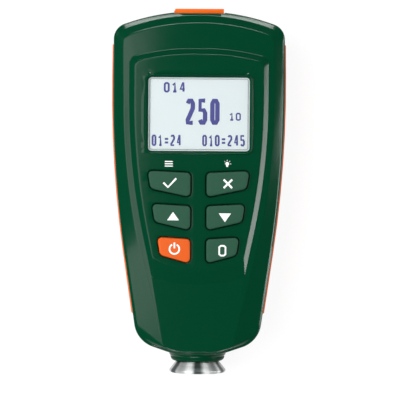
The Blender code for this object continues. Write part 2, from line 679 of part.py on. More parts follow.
def build_rear_housing():
    high = PARTING_Z - GAP / 2
    rounding = [level(inset(BODY, inward * BACK_INSET), up * BACK_RISE) for inward, up in BACK_ROLL]
    shell = loft("rear_housing", [
        level(inset(BODY, BACK_INSET), 0.0), *rounding, level(BODY, BACK_RISE + BACK_WALL),
        level(BODY, high)], GREEN)
    above = high + WALL
    cavity = loft("rear cavity", [
        level(inset(INNER, BACK_INSET - WALL), BACK_WALL), level(inset(INNER, FLOOR_STEP), BACK_WALL + WALL),
        level(INNER, BACK_WALL + 2 * WALL), level(INNER, above)])
    cut(shell, cavity)
    bay_walls = box(
        "bay walls", (-BAY_HALF_WIDTH - BAY_WALL, BAY_BOTTOM_Y - BAY_WALL, BACK_WALL / 2),
        (BAY_HALF_WIDTH + BAY_WALL, BAY_TOP_Y + BAY_WALL, BAY_ROOF_Z + BAY_WALL))
    cover_boss = rod("cover boss", (0.0, COVER_SCREW_Y, BACK_WALL / 2), (0.0, COVER_SCREW_Y, COVER_BOSS_Z),
                     COVER_BOSS_RADIUS)
    join(shell, bay_walls, cover_boss)
    for number, (x, y) in enumerate(boss_places()):
        join(shell, rod(f"rear boss {number}", (x, y, BACK_WALL / 2), (x, y, high), BOSS_RADIUS))
    for side in (-1, 1):
        x = side * BOARD_SCREW_X
        join(shell, rod(f"board post {side}", (x, BOARD_SCREW_Y, BACK_WALL / 2),
                        (x, BOARD_SCREW_Y, BOARD_Z - GAP), BOARD_POST_RADIUS))
    bay = box("bay", (-BAY_HALF_WIDTH, BAY_BOTTOM_Y, -WALL), (BAY_HALF_WIDTH, BAY_TOP_Y, BAY_ROOF_Z))
    cover_seat = plate("cover seat", cover_outline(GAP), -WALL, COVER_SINK + COVER_THICKNESS + GAP)
    cut(shell, bay, cover_seat)
    for side in (-1, 1):
        x = side * COVER_HALF_WIDTH / 2
        cut(shell, box(
            f"cover tongue slot {side}", (x - TONGUE_WIDTH / 2 - GAP, COVER_TOP_Y - GAP, TONGUE_Z - GAP),
            (x + TONGUE_WIDTH / 2 + GAP, COVER_TOP_Y + TONGUE_LENGTH + GAP,
             COVER_SINK + COVER_THICKNESS + GAP)))
        cut(shell, rod(
            f"board screw hole {side}", (side * BOARD_SCREW_X, BOARD_SCREW_Y, BOARD_SCREW_TIP_Z - GAP),
            (side * BOARD_SCREW_X, BOARD_SCREW_Y, above + WALL), SMALL_SCREW_RADIUS + GAP))
    cut(shell, rod("cover screw hole", (0.0, COVER_SCREW_Y, -WALL),
                   (0.0, COVER_SCREW_Y, COVER_SCREW_TIP_Z + GAP), SMALL_SCREW_RADIUS + GAP))
    for number, (x, y) in enumerate(boss_places()):
        cut(shell, rod(f"screw hole {number}", (x, y, -WALL), (x, y, above), SCREW_RADIUS + GAP),
            rod(f"screw head hole {number}", (x, y, -WALL), (x, y, SCREW_SEAT_Z + GAP),
                SCREW_HEAD_RADIUS + GAP))
    cut(shell, *shared_cuts("rear"))
    return shell


def boss_places():
    return [(side * x, y) for x, y in BOSSES for side in (-1, 1)]


def shared_cuts(owner):
    """Cuts that cross the parting plane: grip recesses, the socket's notch and the probe's bore."""
    strip = side_strip(-GRIP_DEPTH, GRIP_DEPTH + GAP, GAP)
    low, high = PARTING_Z - GRIP_HEIGHT / 2 - GAP, PARTING_Z + GRIP_HEIGHT / 2 + GAP
    return [
        plate(f"{owner} right grip recess", strip, low, high),
        plate(f"{owner} left grip recess", mirrored(strip), low, high),
        box(f"{owner} tab notch", (-COVER_TAB_WIDTH / 2 - GAP, TAB_SEAT_Y - GAP, COVER_TAB_Z[0] - GAP),
            (COVER_TAB_WIDTH / 2 + GAP, COVER_TAB_TOP_Y + WALL, COVER_TAB_Z[1] + GAP)),
        box(f"{owner} socket opening",
            (-PLUG_WIDTH / 2 - GAP, TAB_SEAT_Y - 2 * WALL, SOCKET_Z - PLUG_HEIGHT / 2 - GAP),
            (PLUG_WIDTH / 2 + GAP, COVER_TAB_TOP_Y, SOCKET_Z + PLUG_HEIGHT / 2 + 2 * GAP)),
        turned(f"{owner} probe bore", [
            (0.0, BOTTOM_Y + END_WALL + WALL), (COLLAR_GROOVE_RADIUS + GAP, BOTTOM_Y + END_WALL + WALL),
            (COLLAR_GROOVE_RADIUS + GAP, COLLAR_TOP_Y + GAP), (COLLAR_RADIUS + GAP, COLLAR_TOP_Y + GAP),
            (COLLAR_RADIUS + GAP, BOTTOM_Y - WALL), (0.0, BOTTOM_Y - WALL)], closed=False)]


def lens_outline(extra=0.0):
    """Outline of the lens; with the gap added it is the window itself."""
    return window_outline(extra - GAP)


def window_outline(extra=0.0):
    return rectangle(WINDOW_WIDTH + 2 * extra, WINDOW_HEIGHT + 2 * extra, WINDOW_RADIUS, y=WINDOW_Y)


def panel_outline(extra=0.0):
    return rectangle(WINDOW_WIDTH + 2 * (PANEL_BORDER + extra), WINDOW_HEIGHT + 2 * (PANEL_BORDER + extra),
                     WINDOW_RADIUS, y=WINDOW_Y)


def keypad_outline(extra):
    """Four-cornered field round all keys, narrowing with them."""
    top = KEY_TOP_Y + extra
    bottom = KEY_TOP_Y - 2 * KEY_PITCH - KEY_HEIGHT - extra
    upper, lower = KEY_OUTER_X[0] + extra, KEY_OUTER_X[-1] + extra / 2
    return rounded([(-upper, top, KEY_RADIUS, 3), (upper, top, KEY_RADIUS, 3),
                    (lower, bottom, KEY_RADIUS, 3), (-lower, bottom, KEY_RADIUS, 3)], closed=True)


def cover_outline(extra=0.0):
    return rectangle(2 * (COVER_HALF_WIDTH + extra), COVER_TOP_Y - COVER_BOTTOM_Y + 2 * extra,
                     COVER_RADIUS, y=(COVER_TOP_Y + COVER_BOTTOM_Y) / 2)


def build_grips():
    strip = side_strip(-GRIP_PROUD, GRIP_DEPTH)
    low, high = PARTING_Z - GRIP_HEIGHT / 2, PARTING_Z + GRIP_HEIGHT / 2
    for name, points in (("side_grip_right", strip), ("side_grip_left", mirrored(strip))):
        round_edges(plate(name, points, low, high, ORANGE), GRIP_EDGE)


def build_display():
    lens = plate("display_lens", lens_outline(), LENS_SEAT_Z + GAP, LENS_TOP_Z, CLEAR)
    round_edges(lens, LENS_EDGE, 1)
    plate("display_panel", panel_outline(), PANEL_Z, PANEL_TOP_Z, DISPLAY_WHITE)
    bottom = WINDOW_Y - WINDOW_HEIGHT / 2 - PANEL_BORDER
    top = WINDOW_Y + WINDOW_HEIGHT / 2 + PANEL_BORDER
    half = WINDOW_WIDTH / 2 + PANEL_BORDER
    strip_half = half - STRIP_WIDTH
    box("contact_strip", (-strip_half, bottom + GAP, ON_BOARD_Z),
        (strip_half, bottom + GAP + STRIP_WIDTH, CARRIER_TOP_Z), GREY_RUBBER)
    low = bottom + 3 * GAP + STRIP_WIDTH
    carrier = box("display_carrier", (-half, low, CARRIER_Z), (half, top, CARRIER_TOP_Z), WHITE_PLASTIC)
    for number, (x, y) in enumerate([(sx * (half - CARRIER_LEG), y) for sx in (-1, 1)
                                     for y in (low + CARRIER_LEG, top - CARRIER_LEG)]):
        join(carrier, rod(f"carrier leg {number}", (x, y, ON_BOARD_Z), (x, y, CARRIER_TOP_Z - GAP),
                          CARRIER_LEG / 2))


def build_keys():
    mat = plate("keypad_mat", rounded([
        (-MAT_HALF_WIDTH, MAT_Y[1], MAT_RADIUS, 3), (MAT_HALF_WIDTH, MAT_Y[1], MAT_RADIUS, 3),
        (MAT_HALF_WIDTH - MAT_TAPER, MAT_Y[0], MAT_RADIUS, 3),
        (-MAT_HALF_WIDTH + MAT_TAPER, MAT_Y[0], MAT_RADIUS, 3)], closed=True),
        ON_BOARD_Z, ON_BOARD_Z + MAT_THICKNESS, GREY_RUBBER)
    for name, row, side, color in KEYS:
        outline = key_outline(row, side)
        centre = key_centre(row, side)
        key = loft(name, [
            level(inset(outline, -KEY_FLANGE), FLANGE_TOP_Z - KEY_FLANGE_THICKNESS),
            level(inset(outline, -KEY_FLANGE), FLANGE_TOP_Z), level(outline, FLANGE_TOP_Z),
            level(outline, KEY_TOP_Z - KEY_EDGE),
            level(inset(outline, KEY_EDGE_MIDDLE), KEY_TOP_Z - KEY_EDGE_MIDDLE),
            level(inset(outline, KEY_EDGE), KEY_TOP_Z)], color)
        stem_low = DOME_TOP_Z + KEY_TRAVEL + GAP / 2
        join(key, rod(f"{name} stem", (*centre, stem_low), (*centre, FLANGE_TOP_Z - GAP), STEM_RADIUS))
        put_origin(key, (*centre, KEY_TOP_Z))
        dome_low = ON_BOARD_Z + MAT_THICKNESS / 2
        join(mat, rod(f"{name} dome", (*centre, dome_low), (*centre, DOME_TOP_Z), DOME_RADIUS,
                      end_radius=STEM_RADIUS))


def build_board():
    board = plate("main_board", rounded([
        (-BOARD_HALF_WIDTH, BOARD_Y[1], BOARD_RADIUS, 2), (BOARD_HALF_WIDTH, BOARD_Y[1], BOARD_RADIUS, 2),
        (BOARD_HALF_WIDTH, BOARD_WAIST_Y, BOARD_WAIST_RADIUS, 2),
        (BOARD_LOWER_HALF_WIDTH, BOARD_Y[0], BOARD_RADIUS, 2),
        (-BOARD_LOWER_HALF_WIDTH, BOARD_Y[0], BOARD_RADIUS, 2),
        (-BOARD_HALF_WIDTH, BOARD_WAIST_Y, BOARD_WAIST_RADIUS, 2)], closed=True),
        BOARD_Z, BOARD_TOP_Z, BOARD_GREEN)
    join(board, box("board tongue", (-BOARD_TONGUE_WIDTH / 2, BOARD_Y[1] - WALL, BOARD_Z),
                    (BOARD_TONGUE_WIDTH / 2, SOCKET_FRONT_Y, BOARD_TOP_Z)))
    for side in (-1, 1):
        x = side * BOARD_SCREW_X
        cut(board, rod(f"board hole {side}", (x, BOARD_SCREW_Y, BOARD_Z - WALL),
                       (x, BOARD_SCREW_Y, BOARD_TOP_Z + WALL), SMALL_SCREW_RADIUS + GAP))
        screw(f"board_screw_{'left' if side < 0 else 'right'}", x, BOARD_SCREW_Y,
              ON_BOARD_Z, SMALL_SCREW_RADIUS, SMALL_HEAD_RADIUS, SMALL_HEAD_HEIGHT,
              ON_BOARD_Z - BOARD_SCREW_TIP_Z, downwards=True)
    chip_half = CHIP_WIDTH / 2
    box("controller_chip", (-chip_half, WINDOW_Y - chip_half, ON_BOARD_Z),
        (chip_half, WINDOW_Y + chip_half, ON_BOARD_Z + CHIP_HEIGHT), BLACK_PLASTIC)
    buzzer_y = BAY_TOP_Y + BAY_WALL + BUZZER_RADIUS + GAP
    rod("buzzer", (BUZZER_X, buzzer_y, BOARD_Z - GAP - BUZZER_HEIGHT), (BUZZER_X, buzzer_y, BOARD_Z - GAP),
        BUZZER_RADIUS, BLACK_PLASTIC, sides=32)
    socket_low = (-SOCKET_WIDTH / 2, SOCKET_FRONT_Y - SOCKET_LENGTH, SOCKET_TOP_Z - SOCKET_HEIGHT)
    socket = box("data_socket", socket_low, (SOCKET_WIDTH / 2, SOCKET_FRONT_Y, SOCKET_TOP_Z), STEEL)
    inner = SOCKET_WIDTH / 2 - SHEET
    floor_y = SOCKET_FRONT_Y - SOCKET_DEPTH
    mouth = box("socket mouth", (-inner, floor_y, SOCKET_Z - SOCKET_HEIGHT / 2 + SHEET),
                (inner, SOCKET_FRONT_Y + WALL, SOCKET_Z + SOCKET_HEIGHT / 2 - SHEET))
    blade = box("socket blade", (-BLADE_HALF_WIDTH, floor_y - BLADE_ROOT, SOCKET_Z - SHEET / 2),
                (BLADE_HALF_WIDTH, SOCKET_FRONT_Y - SHEET, SOCKET_Z + SHEET))
    cut(socket, mouth)
    join(socket, blade)


def screw(name, x, y, seat_z, radius, head_radius, head_height, length, downwards=False):
    """Round-headed screw with a cross recess; its head lies on the side away from its tip."""
    way = -1.0 if downwards else 1.0
    made = rod(name, (x, y, seat_z - way * head_height), (x, y, seat_z), head_radius, STEEL, sides=20)
    join(made, rod(f"{name} shank", (x, y, seat_z - way * head_height / 2), (x, y, seat_z + way * length),
                   radius, sides=12))
    reach, slot = RECESS_REACH * head_radius, RECESS_SLOT * head_radius
    heights = sorted((seat_z - way * RECESS_DEPTH * head_height, seat_z - way * 2 * head_height))
    for across in ((reach, slot), (slot, reach)):
        low = (x - across[0], y - across[1], heights[0])
        high = (x + across[0], y + across[1], heights[1])
        cut(made, box(f"{name} recess {across[0]:.5f}", low, high))
    return made


def build_housing_screws():
    names = ("screw_upper_left", "screw_upper_right", "screw_lower_left", "screw_lower_right")
    for name, (x, y) in zip(names, boss_places()):
        screw(name, x, y, SCREW_SEAT_Z, SCREW_RADIUS, SCREW_HEAD_RADIUS, SCREW_HEAD_HEIGHT,
              SCREW_TIP_Z - SCREW_SEAT_Z)


def build_battery_parts():
    cover = plate("battery_cover", cover_outline(), COVER_SINK, COVER_SINK + COVER_THICKNESS, GREEN)
    for side in (-1, 1):
        x = side * COVER_HALF_WIDTH / 2
        join(cover, box(f"cover tongue {side}", (x - TONGUE_WIDTH / 2, COVER_TOP_Y - WALL, TONGUE_Z),
                        (x + TONGUE_WIDTH / 2, COVER_TOP_Y + TONGUE_LENGTH, COVER_SINK + COVER_THICKNESS)))
    seat = COVER_SINK + SMALL_HEAD_HEIGHT
    cut(cover,
        rod("cover head hole", (0.0, COVER_SCREW_Y, -WALL), (0.0, COVER_SCREW_Y, seat + GAP),
            SMALL_HEAD_RADIUS + GAP),
        rod("cover shank hole", (0.0, COVER_SCREW_Y, -WALL), (0.0, COVER_SCREW_Y, BACK_WALL),
            SMALL_SCREW_RADIUS + GAP))
    screw("battery_cover_screw", 0.0, COVER_SCREW_Y, seat, SMALL_SCREW_RADIUS, SMALL_HEAD_RADIUS,
          SMALL_HEAD_HEIGHT, COVER_SCREW_TIP_Z - seat)
    for name, side, way in (("battery_left", -1, 1), ("battery_right", 1, -1)):
        x = side * CELL_SPACING / 2
        nub_end = BAY_Y + way * (BAY_LENGTH / 2 - PLATE_THICKNESS - 2 * GAP)
        shoulder = nub_end - way * NUB_LENGTH
        tail = shoulder - way * CELL_LENGTH
        cell = rod(name, (x, tail, CELL_Z), (x, shoulder, CELL_Z), CELL_DIAMETER / 2, CELL_WRAP, sides=32)
        join(cell, rod(f"{name} nub", (x, shoulder - way * GAP, CELL_Z), (x, nub_end, CELL_Z),
                       NUB_DIAMETER / 2))
        wall = BAY_Y - way * (BAY_LENGTH / 2 - PLATE_THICKNESS - 2 * GAP)
        coil(f"battery_spring_{'left' if side < 0 else 'right'}", Vector((x, wall, CELL_Z)),
             Vector((x, tail - way * GAP, CELL_Z)), SPRING_RADIUS, SPRING_WIRE / 2, 3)
    plate_low, plate_high = COVER_SINK + COVER_THICKNESS + 2 * GAP, BAY_ROOF_Z - GAP
    half = BAY_HALF_WIDTH - GAP
    top = BAY_TOP_Y - GAP
    box("battery_bridge_plate", (-half, top - PLATE_THICKNESS, plate_low), (half, top, plate_high), STEEL)
    bottom = BAY_BOTTOM_Y + GAP
    face = bottom + PLATE_THICKNESS
    box("battery_plate_negative", (-half, bottom, plate_low), (-GAP, face, plate_high), STEEL)
    box("battery_plate_positive", (GAP, bottom, plate_low), (half, face, plate_high), STEEL)


def coil(name, start, end, radius, wire, turns, per_turn=10):
    """A compression spring between two points on a line along Y, inside both by its wire's radius."""
    way = 1.0 if end.y > start.y else -1.0
    first, last = start.y + way * wire, end.y - way * wire
    count = turns * per_turn
    points = []
    for index in range(count + 1):
        angle = 2 * math.pi * index / per_turn
        points.append((start.x + radius * math.cos(angle), first + (last - first) * index / count,
                       start.z + radius * math.sin(angle)))
    return tube(name, points, wire, STEEL)


def build_socket_cover():
    """Rubber cover of the socket; it swings about its rear edge, so that end is round."""
    turn = Matrix(((0, 0, 1, 0), (1, 0, 0, 0), (0, 1, 0, 0), (0, 0, 0, 1)))
    low, high = COVER_TAB_Z
    half = COVER_TAB_WIDTH / 2
    profile = rounded([
        (TAB_SEAT_Y, low, COVER_TAB_THICKNESS / 2, 4), (TAB_SEAT_Y, high, COVER_TAB_EDGE / 2, 1),
        (COVER_TAB_TOP_Y, high, COVER_TAB_EDGE, 2), (COVER_TAB_TOP_Y, low, COVER_TAB_THICKNESS / 2, 4)],
        closed=True)
    cover = plate("socket_cover", profile, -half, half, ORANGE, turn)
    plug = box("cover plug", (-PLUG_WIDTH / 2, TAB_SEAT_Y - PLUG_LENGTH, SOCKET_Z - PLUG_HEIGHT / 2),
               (PLUG_WIDTH / 2, TAB_SEAT_Y + GAP, SOCKET_Z + PLUG_HEIGHT / 2))
    lip_y = COVER_TAB_TOP_Y - 2 * TAB_LIP_RADIUS
    middle = (low + high) / 2
    lip = rod("cover lip", (-half, lip_y, middle - TAB_LIP_LENGTH / 2),
              (-half, lip_y, middle + TAB_LIP_LENGTH / 2), TAB_LIP_RADIUS, sides=12)
    join(cover, plug, lip)
    put_origin(cover, (0.0, HINGE_Y, HINGE_Z))


def build_probe():
    rim_y = FOOT_END_Y + FOOT_RIM_WIDTH
    cap_low = SLEEVE_END_Y - CAP_DEPTH
    plunger_top = cap_low - SPRING_PRESSED - PLUNGER_TRAVEL
    neck_y = COLLAR_END_Y - GAP
    sleeve = turned("probe_sleeve", [
        (SLEEVE_RADIUS, SLEEVE_END_Y), (SLEEVE_RADIUS, neck_y), (FOOT_NECK_RADIUS, neck_y),
        (FOOT_RIM_RADIUS - RIM_EDGE / 2, rim_y), (FOOT_RIM_RADIUS, rim_y - RIM_EDGE),
        (FOOT_RIM_RADIUS - RIM_EDGE / 2, FOOT_END_Y + RIM_EDGE / 2),
        (FOOT_RIM_RADIUS - 3 * RIM_EDGE / 2, FOOT_END_Y),
        (TIP_HOLE_RADIUS, FOOT_END_Y), (TIP_HOLE_RADIUS, FOOT_END_Y + FOOT_FLOOR),
        (SLEEVE_BORE, FOOT_END_Y + FOOT_FLOOR), (SLEEVE_BORE, SLEEVE_END_Y)], STEEL)
    groove = rod("v groove", (-2 * FOOT_RIM_RADIUS, FOOT_END_Y - GROOVE_DEPTH, PROBE_Z),
                 (2 * FOOT_RIM_RADIUS, FOOT_END_Y - GROOVE_DEPTH, PROBE_Z), 2 * GROOVE_DEPTH, sides=4)
    cut(sleeve, groove)
    roll = COLLAR_RADIUS - COLLAR_WAIST_RADIUS
    collar_roll = [(COLLAR_WAIST_RADIUS + roll * math.cos(turn), COLLAR_END_Y + roll * (1 - math.sin(turn)))
                   for turn in [math.pi / 2 * step / COLLAR_STEPS for step in range(COLLAR_STEPS + 1)]]
    turned("probe_collar", [
        (COLLAR_FLANGE_RADIUS, COLLAR_FLANGE_Y + COLLAR_FLANGE_THICKNESS),
        (COLLAR_FLANGE_RADIUS, COLLAR_FLANGE_Y),
        (COLLAR_GROOVE_RADIUS, COLLAR_FLANGE_Y), (COLLAR_GROOVE_RADIUS, COLLAR_TOP_Y),
        (COLLAR_RADIUS, COLLAR_TOP_Y), *collar_roll, (SLEEVE_RADIUS + GAP, COLLAR_END_Y),
        (SLEEVE_RADIUS + GAP, COLLAR_FLANGE_Y + COLLAR_FLANGE_THICKNESS)], GREEN)
    front = FOOT_END_Y + FOOT_FLOOR + GAP
    bore = CORE_RADIUS + GAP
    outer = SLEEVE_BORE - GAP
    room = outer - PLUNGER_WALL
    shelf = front + PLUNGER_WALL
    turned("probe_plunger", [
        (outer, plunger_top), (outer, front), (bore, front), (bore, shelf), (room, shelf),
        (room, plunger_top)],
        BLACK_PLASTIC, steps=24)
    flange_y = plunger_top - GAP
    flange_low = flange_y - CORE_FLANGE
    tip_end = FOOT_END_Y - TIP_PROUD
    tip_top = tip_end + TIP_LENGTH
    turned("probe_core", [
        (0.0, flange_y), (room - GAP, flange_y), (room - GAP, flange_low), (CORE_RADIUS, flange_low),
        (CORE_RADIUS, tip_top + GAP), (0.0, tip_top + GAP)], STEEL, steps=20, closed=False)
    arc = [(CORE_RADIUS * math.cos(turn), tip_end + TIP_DOME * (1 - math.sin(turn)))
           for turn in [math.pi / 2 * step / TIP_STEPS for step in range(TIP_STEPS)]]
    turned("probe_tip", [(0.0, tip_top), (CORE_RADIUS, tip_top), *arc, (0.0, tip_end)],
           STEEL, steps=20, closed=False)
    turned("probe_winding", [
        (room - GAP, flange_low - GAP), (room - GAP, shelf + GAP), (bore, shelf + GAP),
        (bore, flange_low - GAP)],
        COPPER, steps=24)
    turned("probe_cap", [
        (0.0, SLEEVE_END_Y + GAP + CAP_FLANGE), (SLEEVE_RADIUS, SLEEVE_END_Y + GAP + CAP_FLANGE),
        (SLEEVE_RADIUS, SLEEVE_END_Y + GAP), (outer, SLEEVE_END_Y + GAP), (outer, cap_low), (0.0, cap_low)],
        BLACK_PLASTIC, steps=24, closed=False)
    spring_y = plunger_top + GAP
    coil("probe_spring", Vector((0.0, spring_y, PROBE_Z)), Vector((0.0, cap_low - GAP, PROBE_Z)),
         outer - PLUNGER_WALL / 2, PROBE_WIRE / 2, 5)
    start = Vector((LEAD_X, SLEEVE_END_Y + 2 * GAP + CAP_FLANGE, PROBE_Z))
    end = Vector((SLEEVE_RADIUS, start.y + LEAD_REACH, BOARD_Z - GAP - LEAD_RADIUS))
    path = [start.lerp(end, t) + Vector((0, 0, (end.z - start.z) * (t * t * (3 - 2 * t) - t)))
            for t in [k / 8 for k in range(9)]]
    tube("probe_lead", path, LEAD_RADIUS, GREY_RUBBER)


build_front_housing()
build_rear_housing()
build_grips()
build_display()
build_keys()
build_board()
build_housing_screws()
build_battery_parts()
build_socket_cover()
build_probe()
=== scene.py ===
# %% [markdown]
# # Dressing a coating thickness gauge
# The gauge lies on its back: a green moulded case with a raised field for the display and six rubber
# keys, orange rubber grips along both sides, a rubber cover over the socket at the top end, and a
# spring-loaded probe in a flared steel foot at the bottom end. The frame brings the working model in
# at its real size. Each cell below gives one piece or one finish its visible surface.

# %% Load the frame
import math

import bmesh
import bpy
from mathutils import Matrix, Vector


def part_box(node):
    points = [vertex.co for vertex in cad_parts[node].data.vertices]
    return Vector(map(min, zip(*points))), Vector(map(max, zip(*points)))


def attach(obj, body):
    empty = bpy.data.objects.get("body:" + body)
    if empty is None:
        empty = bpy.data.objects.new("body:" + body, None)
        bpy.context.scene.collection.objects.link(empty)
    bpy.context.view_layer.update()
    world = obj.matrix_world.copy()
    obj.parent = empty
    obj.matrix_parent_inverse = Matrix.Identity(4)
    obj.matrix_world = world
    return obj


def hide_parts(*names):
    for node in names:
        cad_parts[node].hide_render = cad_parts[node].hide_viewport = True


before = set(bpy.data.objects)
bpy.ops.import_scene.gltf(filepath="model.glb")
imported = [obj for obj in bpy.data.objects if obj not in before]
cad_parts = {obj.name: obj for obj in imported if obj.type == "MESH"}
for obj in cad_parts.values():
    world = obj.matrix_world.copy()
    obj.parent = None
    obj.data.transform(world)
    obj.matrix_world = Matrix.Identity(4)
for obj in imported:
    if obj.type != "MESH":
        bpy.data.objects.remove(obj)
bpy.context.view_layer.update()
MM = 0.001

# %% [markdown]
# ## The camera
# The photograph looks straight down on the gauge from about half a metre: the round rim of the foot
# bows towards the picture's edge, which tells the distance. The camera sits a little right of and below
# the middle and is turned by a third of a degree, as the picture has it. The lens follows from the
# width that the picture spans.

# %% Camera
VIEW_WIDTH = 124.2 * MM
VIEW_CENTRE = (0.5 * MM, -2.6 * MM)
OUTLINE_Z = 20.5 * MM
CAMERA_DISTANCE = 0.55
CAMERA_ROLL = math.radians(0.35)
SENSOR = 36.0

camera_data = bpy.data.cameras.new("camera")
camera_data.sensor_width = SENSOR
camera_data.lens = SENSOR * CAMERA_DISTANCE / VIEW_WIDTH
camera = bpy.data.objects.new("camera", camera_data)
camera.location = (*VIEW_CENTRE, OUTLINE_Z + CAMERA_DISTANCE)
camera.rotation_euler = (0.0, 0.0, CAMERA_ROLL)
bpy.context.scene.collection.objects.link(camera)
bpy.context.scene.camera = camera
bpy.context.scene.view_settings.view_transform = "Standard"
print(f"lens {camera_data.lens:.0f} mm")

# %% [markdown]
# ## Light
# Product light on dark glossy plastic is mostly about what the plastic mirrors. A large softbox hangs
# high on the left. Its near edge lies almost overhead, so the left part of the bulging faces takes a
# sheen that fades towards the middle. The other three lamps are only mirrored and light no matt
# surface. A narrow low one on the right draws the crisp pale line down the slope of the raised field,
# one beyond the top end lights the shoulder there, and a small one beyond the probe draws the streak on
# the collar. Straight above stays dark, so the flat faces keep their full colour.

# %% Lamps
LAMP_DISTANCE = 0.8
LAMP_TARGET = (0.0, 0.0, 0.02)


def area_lamp(name, place, size, power):
    lamp = bpy.data.lights.new(name, "AREA")
    lamp.shape = "RECTANGLE"
    lamp.size, lamp.size_y = size
    lamp.energy = power
    made = bpy.data.objects.new(name, lamp)
    way = Vector(LAMP_TARGET) - Vector(place)
    made.location = place
    made.rotation_euler = way.to_track_quat("-Z", "Y").to_euler()
    bpy.context.scene.collection.objects.link(made)
    return made


def strip(name, degrees_round, elevation, length, width, power):
    """A narrow lamp at a direction round the gauge, which is only mirrored and lights no matt surface."""
    turn, rise = math.radians(degrees_round), math.radians(elevation)
    way = Vector((math.cos(rise) * math.cos(turn), math.cos(rise) * math.sin(turn), math.sin(rise)))
    made = area_lamp(name, way * LAMP_DISTANCE, (length, width), power)
    made.visible_diffuse = False


area_lamp("left softbox", (-0.40, 0.06, 0.66), (0.60, 0.60), 5.2)
strip("right strip", 0.0, 14.5, 0.8, 0.13, 5.6)
strip("top end strip", 90.0, 39.0, 0.50, 0.08, 4.0)
strip("probe end strip", -99.0, 14.0, 0.30, 0.08, 1.8)
print("lamps:", len(bpy.data.lights))

# %% [markdown]
# ## Building nodes
# A finish is a small tree of nodes. Three helpers keep each tree short: one sets sockets, one adds a
# node, and one draws the links from a list.

# %% Helpers for nodes
def put(node, values):
    for socket, value in values.items():
        node.inputs[socket].default_value = value


def add(tree, kind, values=None, operation=None):
    """A shader node with some of its sockets set."""
    made = tree.nodes.new("ShaderNode" + kind)
    if operation:
        made.operation = operation
    put(made, values or {})
    return made


def wire(tree, *wires):
    """Links sockets, each link given as node, output, node, input."""
    for source, leaving, target, entering in wires:
        tree.links.new(source.outputs[leaving], target.inputs[entering])


def new_material(name):
    made = bpy.data.materials.new(name)
    made.use_nodes = True
    made.node_tree.nodes.clear()
    return made, made.node_tree


print("node helpers ready")

# %% [markdown]
# ## Floor and surround
# The picture's ground is white. The camera and glass see plain white all round. What the gauge mirrors
# is white up to a little above the horizon and dark overhead, as a room is over a white table. An even
# fill falls on matt surfaces.

# %% World
FILL = 0.78
OVERHEAD = 0.02
WHITE_UP_TO, DARK_FROM = 0.02, 0.09
WHITE = (1.0, 1.0, 1.0, 1.0)
world = bpy.data.worlds.new("studio")
world.use_nodes = True
bpy.context.scene.world = world
tree = world.node_tree
tree.nodes.clear()
path = add(tree, "LightPath")
where = add(tree, "TexCoord")
height = add(tree, "SeparateXYZ")
dimming = add(tree, "MapRange", {
    "From Min": WHITE_UP_TO, "From Max": DARK_FROM, "To Min": 1.0, "To Max": OVERHEAD})
fill = add(tree, "Background", {"Color": WHITE, "Strength": FILL})
room = add(tree, "Background", {"Color": WHITE})
bright = add(tree, "Background", {"Color": WHITE})
seen_straight = add(tree, "Math", operation="MAXIMUM")
mirrored_room = add(tree, "MixShader")
seen = add(tree, "MixShader")
output = add(tree, "OutputWorld")
wire(tree,
     (where, "Generated", height, "Vector"),
     (height, "Z", dimming, "Value"),
     (dimming, "Result", room, "Strength"),
     (path, "Is Glossy Ray", mirrored_room, "Fac"),
     (fill, "Background", mirrored_room, 1),
     (room, "Background", mirrored_room, 2),
     (path, "Is Camera Ray", seen_straight, 0),
     (path, "Is Transmission Ray", seen_straight, 1),
     (seen_straight, "Value", seen, "Fac"),
     (mirrored_room, "Shader", seen, 1),
     (bright, "Background", seen, 2),
     (seen, "Shader", output, "Surface"))
print("world nodes:", len(tree.nodes))

# %% [markdown]
# For the light, the floor is a matt plane. Where it is seen or mirrored it glows white, and a share of
# matt shading on top lets the gauge leave its soft shadow.

# %% Floor
FLOOR_WIDTH = 6.0
FLOOR_MATT = (0.85, 0.85, 0.85, 1.0)
FLOOR_SHADOWED = (0.14, 0.14, 0.14, 1.0)
FLOOR_GLOW = 0.88
floor_bm = bmesh.new()
bmesh.ops.create_grid(floor_bm, x_segments=1, y_segments=1, size=FLOOR_WIDTH / 2)
floor_mesh = bpy.data.meshes.new("floor")
floor_bm.to_mesh(floor_mesh)
floor_bm.free()
floor = bpy.data.objects.new("floor", floor_mesh)
bpy.context.scene.collection.objects.link(floor)
floor_white, tree = new_material("floor white")
path = add(tree, "LightPath")
seen_or_mirrored = add(tree, "Math", operation="MAXIMUM")
not_lit = add(tree, "Math", operation="MAXIMUM")
matt = add(tree, "BsdfDiffuse", {"Color": FLOOR_MATT})
shadowed = add(tree, "BsdfDiffuse", {"Color": FLOOR_SHADOWED})
glow = add(tree, "Emission", {"Color": WHITE, "Strength": FLOOR_GLOW})
both = add(tree, "AddShader")
pick = add(tree, "MixShader")
surface = add(tree, "OutputMaterial")
wire(tree,
     (path, "Is Camera Ray", seen_or_mirrored, 0),
     (path, "Is Glossy Ray", seen_or_mirrored, 1),
     (seen_or_mirrored, "Value", not_lit, 0),
     (path, "Is Transmission Ray", not_lit, 1),
     (shadowed, "BSDF", both, 0),
     (glow, "Emission", both, 1),
     (not_lit, "Value", pick, "Fac"),
     (matt, "BSDF", pick, 1),
     (both, "Shader", pick, 2),
     (pick, "Shader", surface, "Surface"))
floor.data.materials.append(floor_white)
print("floor", FLOOR_WIDTH, "m wide")

# %% [markdown]
# ## A shared grain
# Moulded plastic takes a fine spark-eroded grain from its tool, and rubber a softer one. Both are the
# same effect at another scale, so one node group holds it: noise in object coordinates, which gives a
# height for a bump and a small swing in roughness and in tone.

# %% Grain node group
BROAD_PATCHES = 260.0


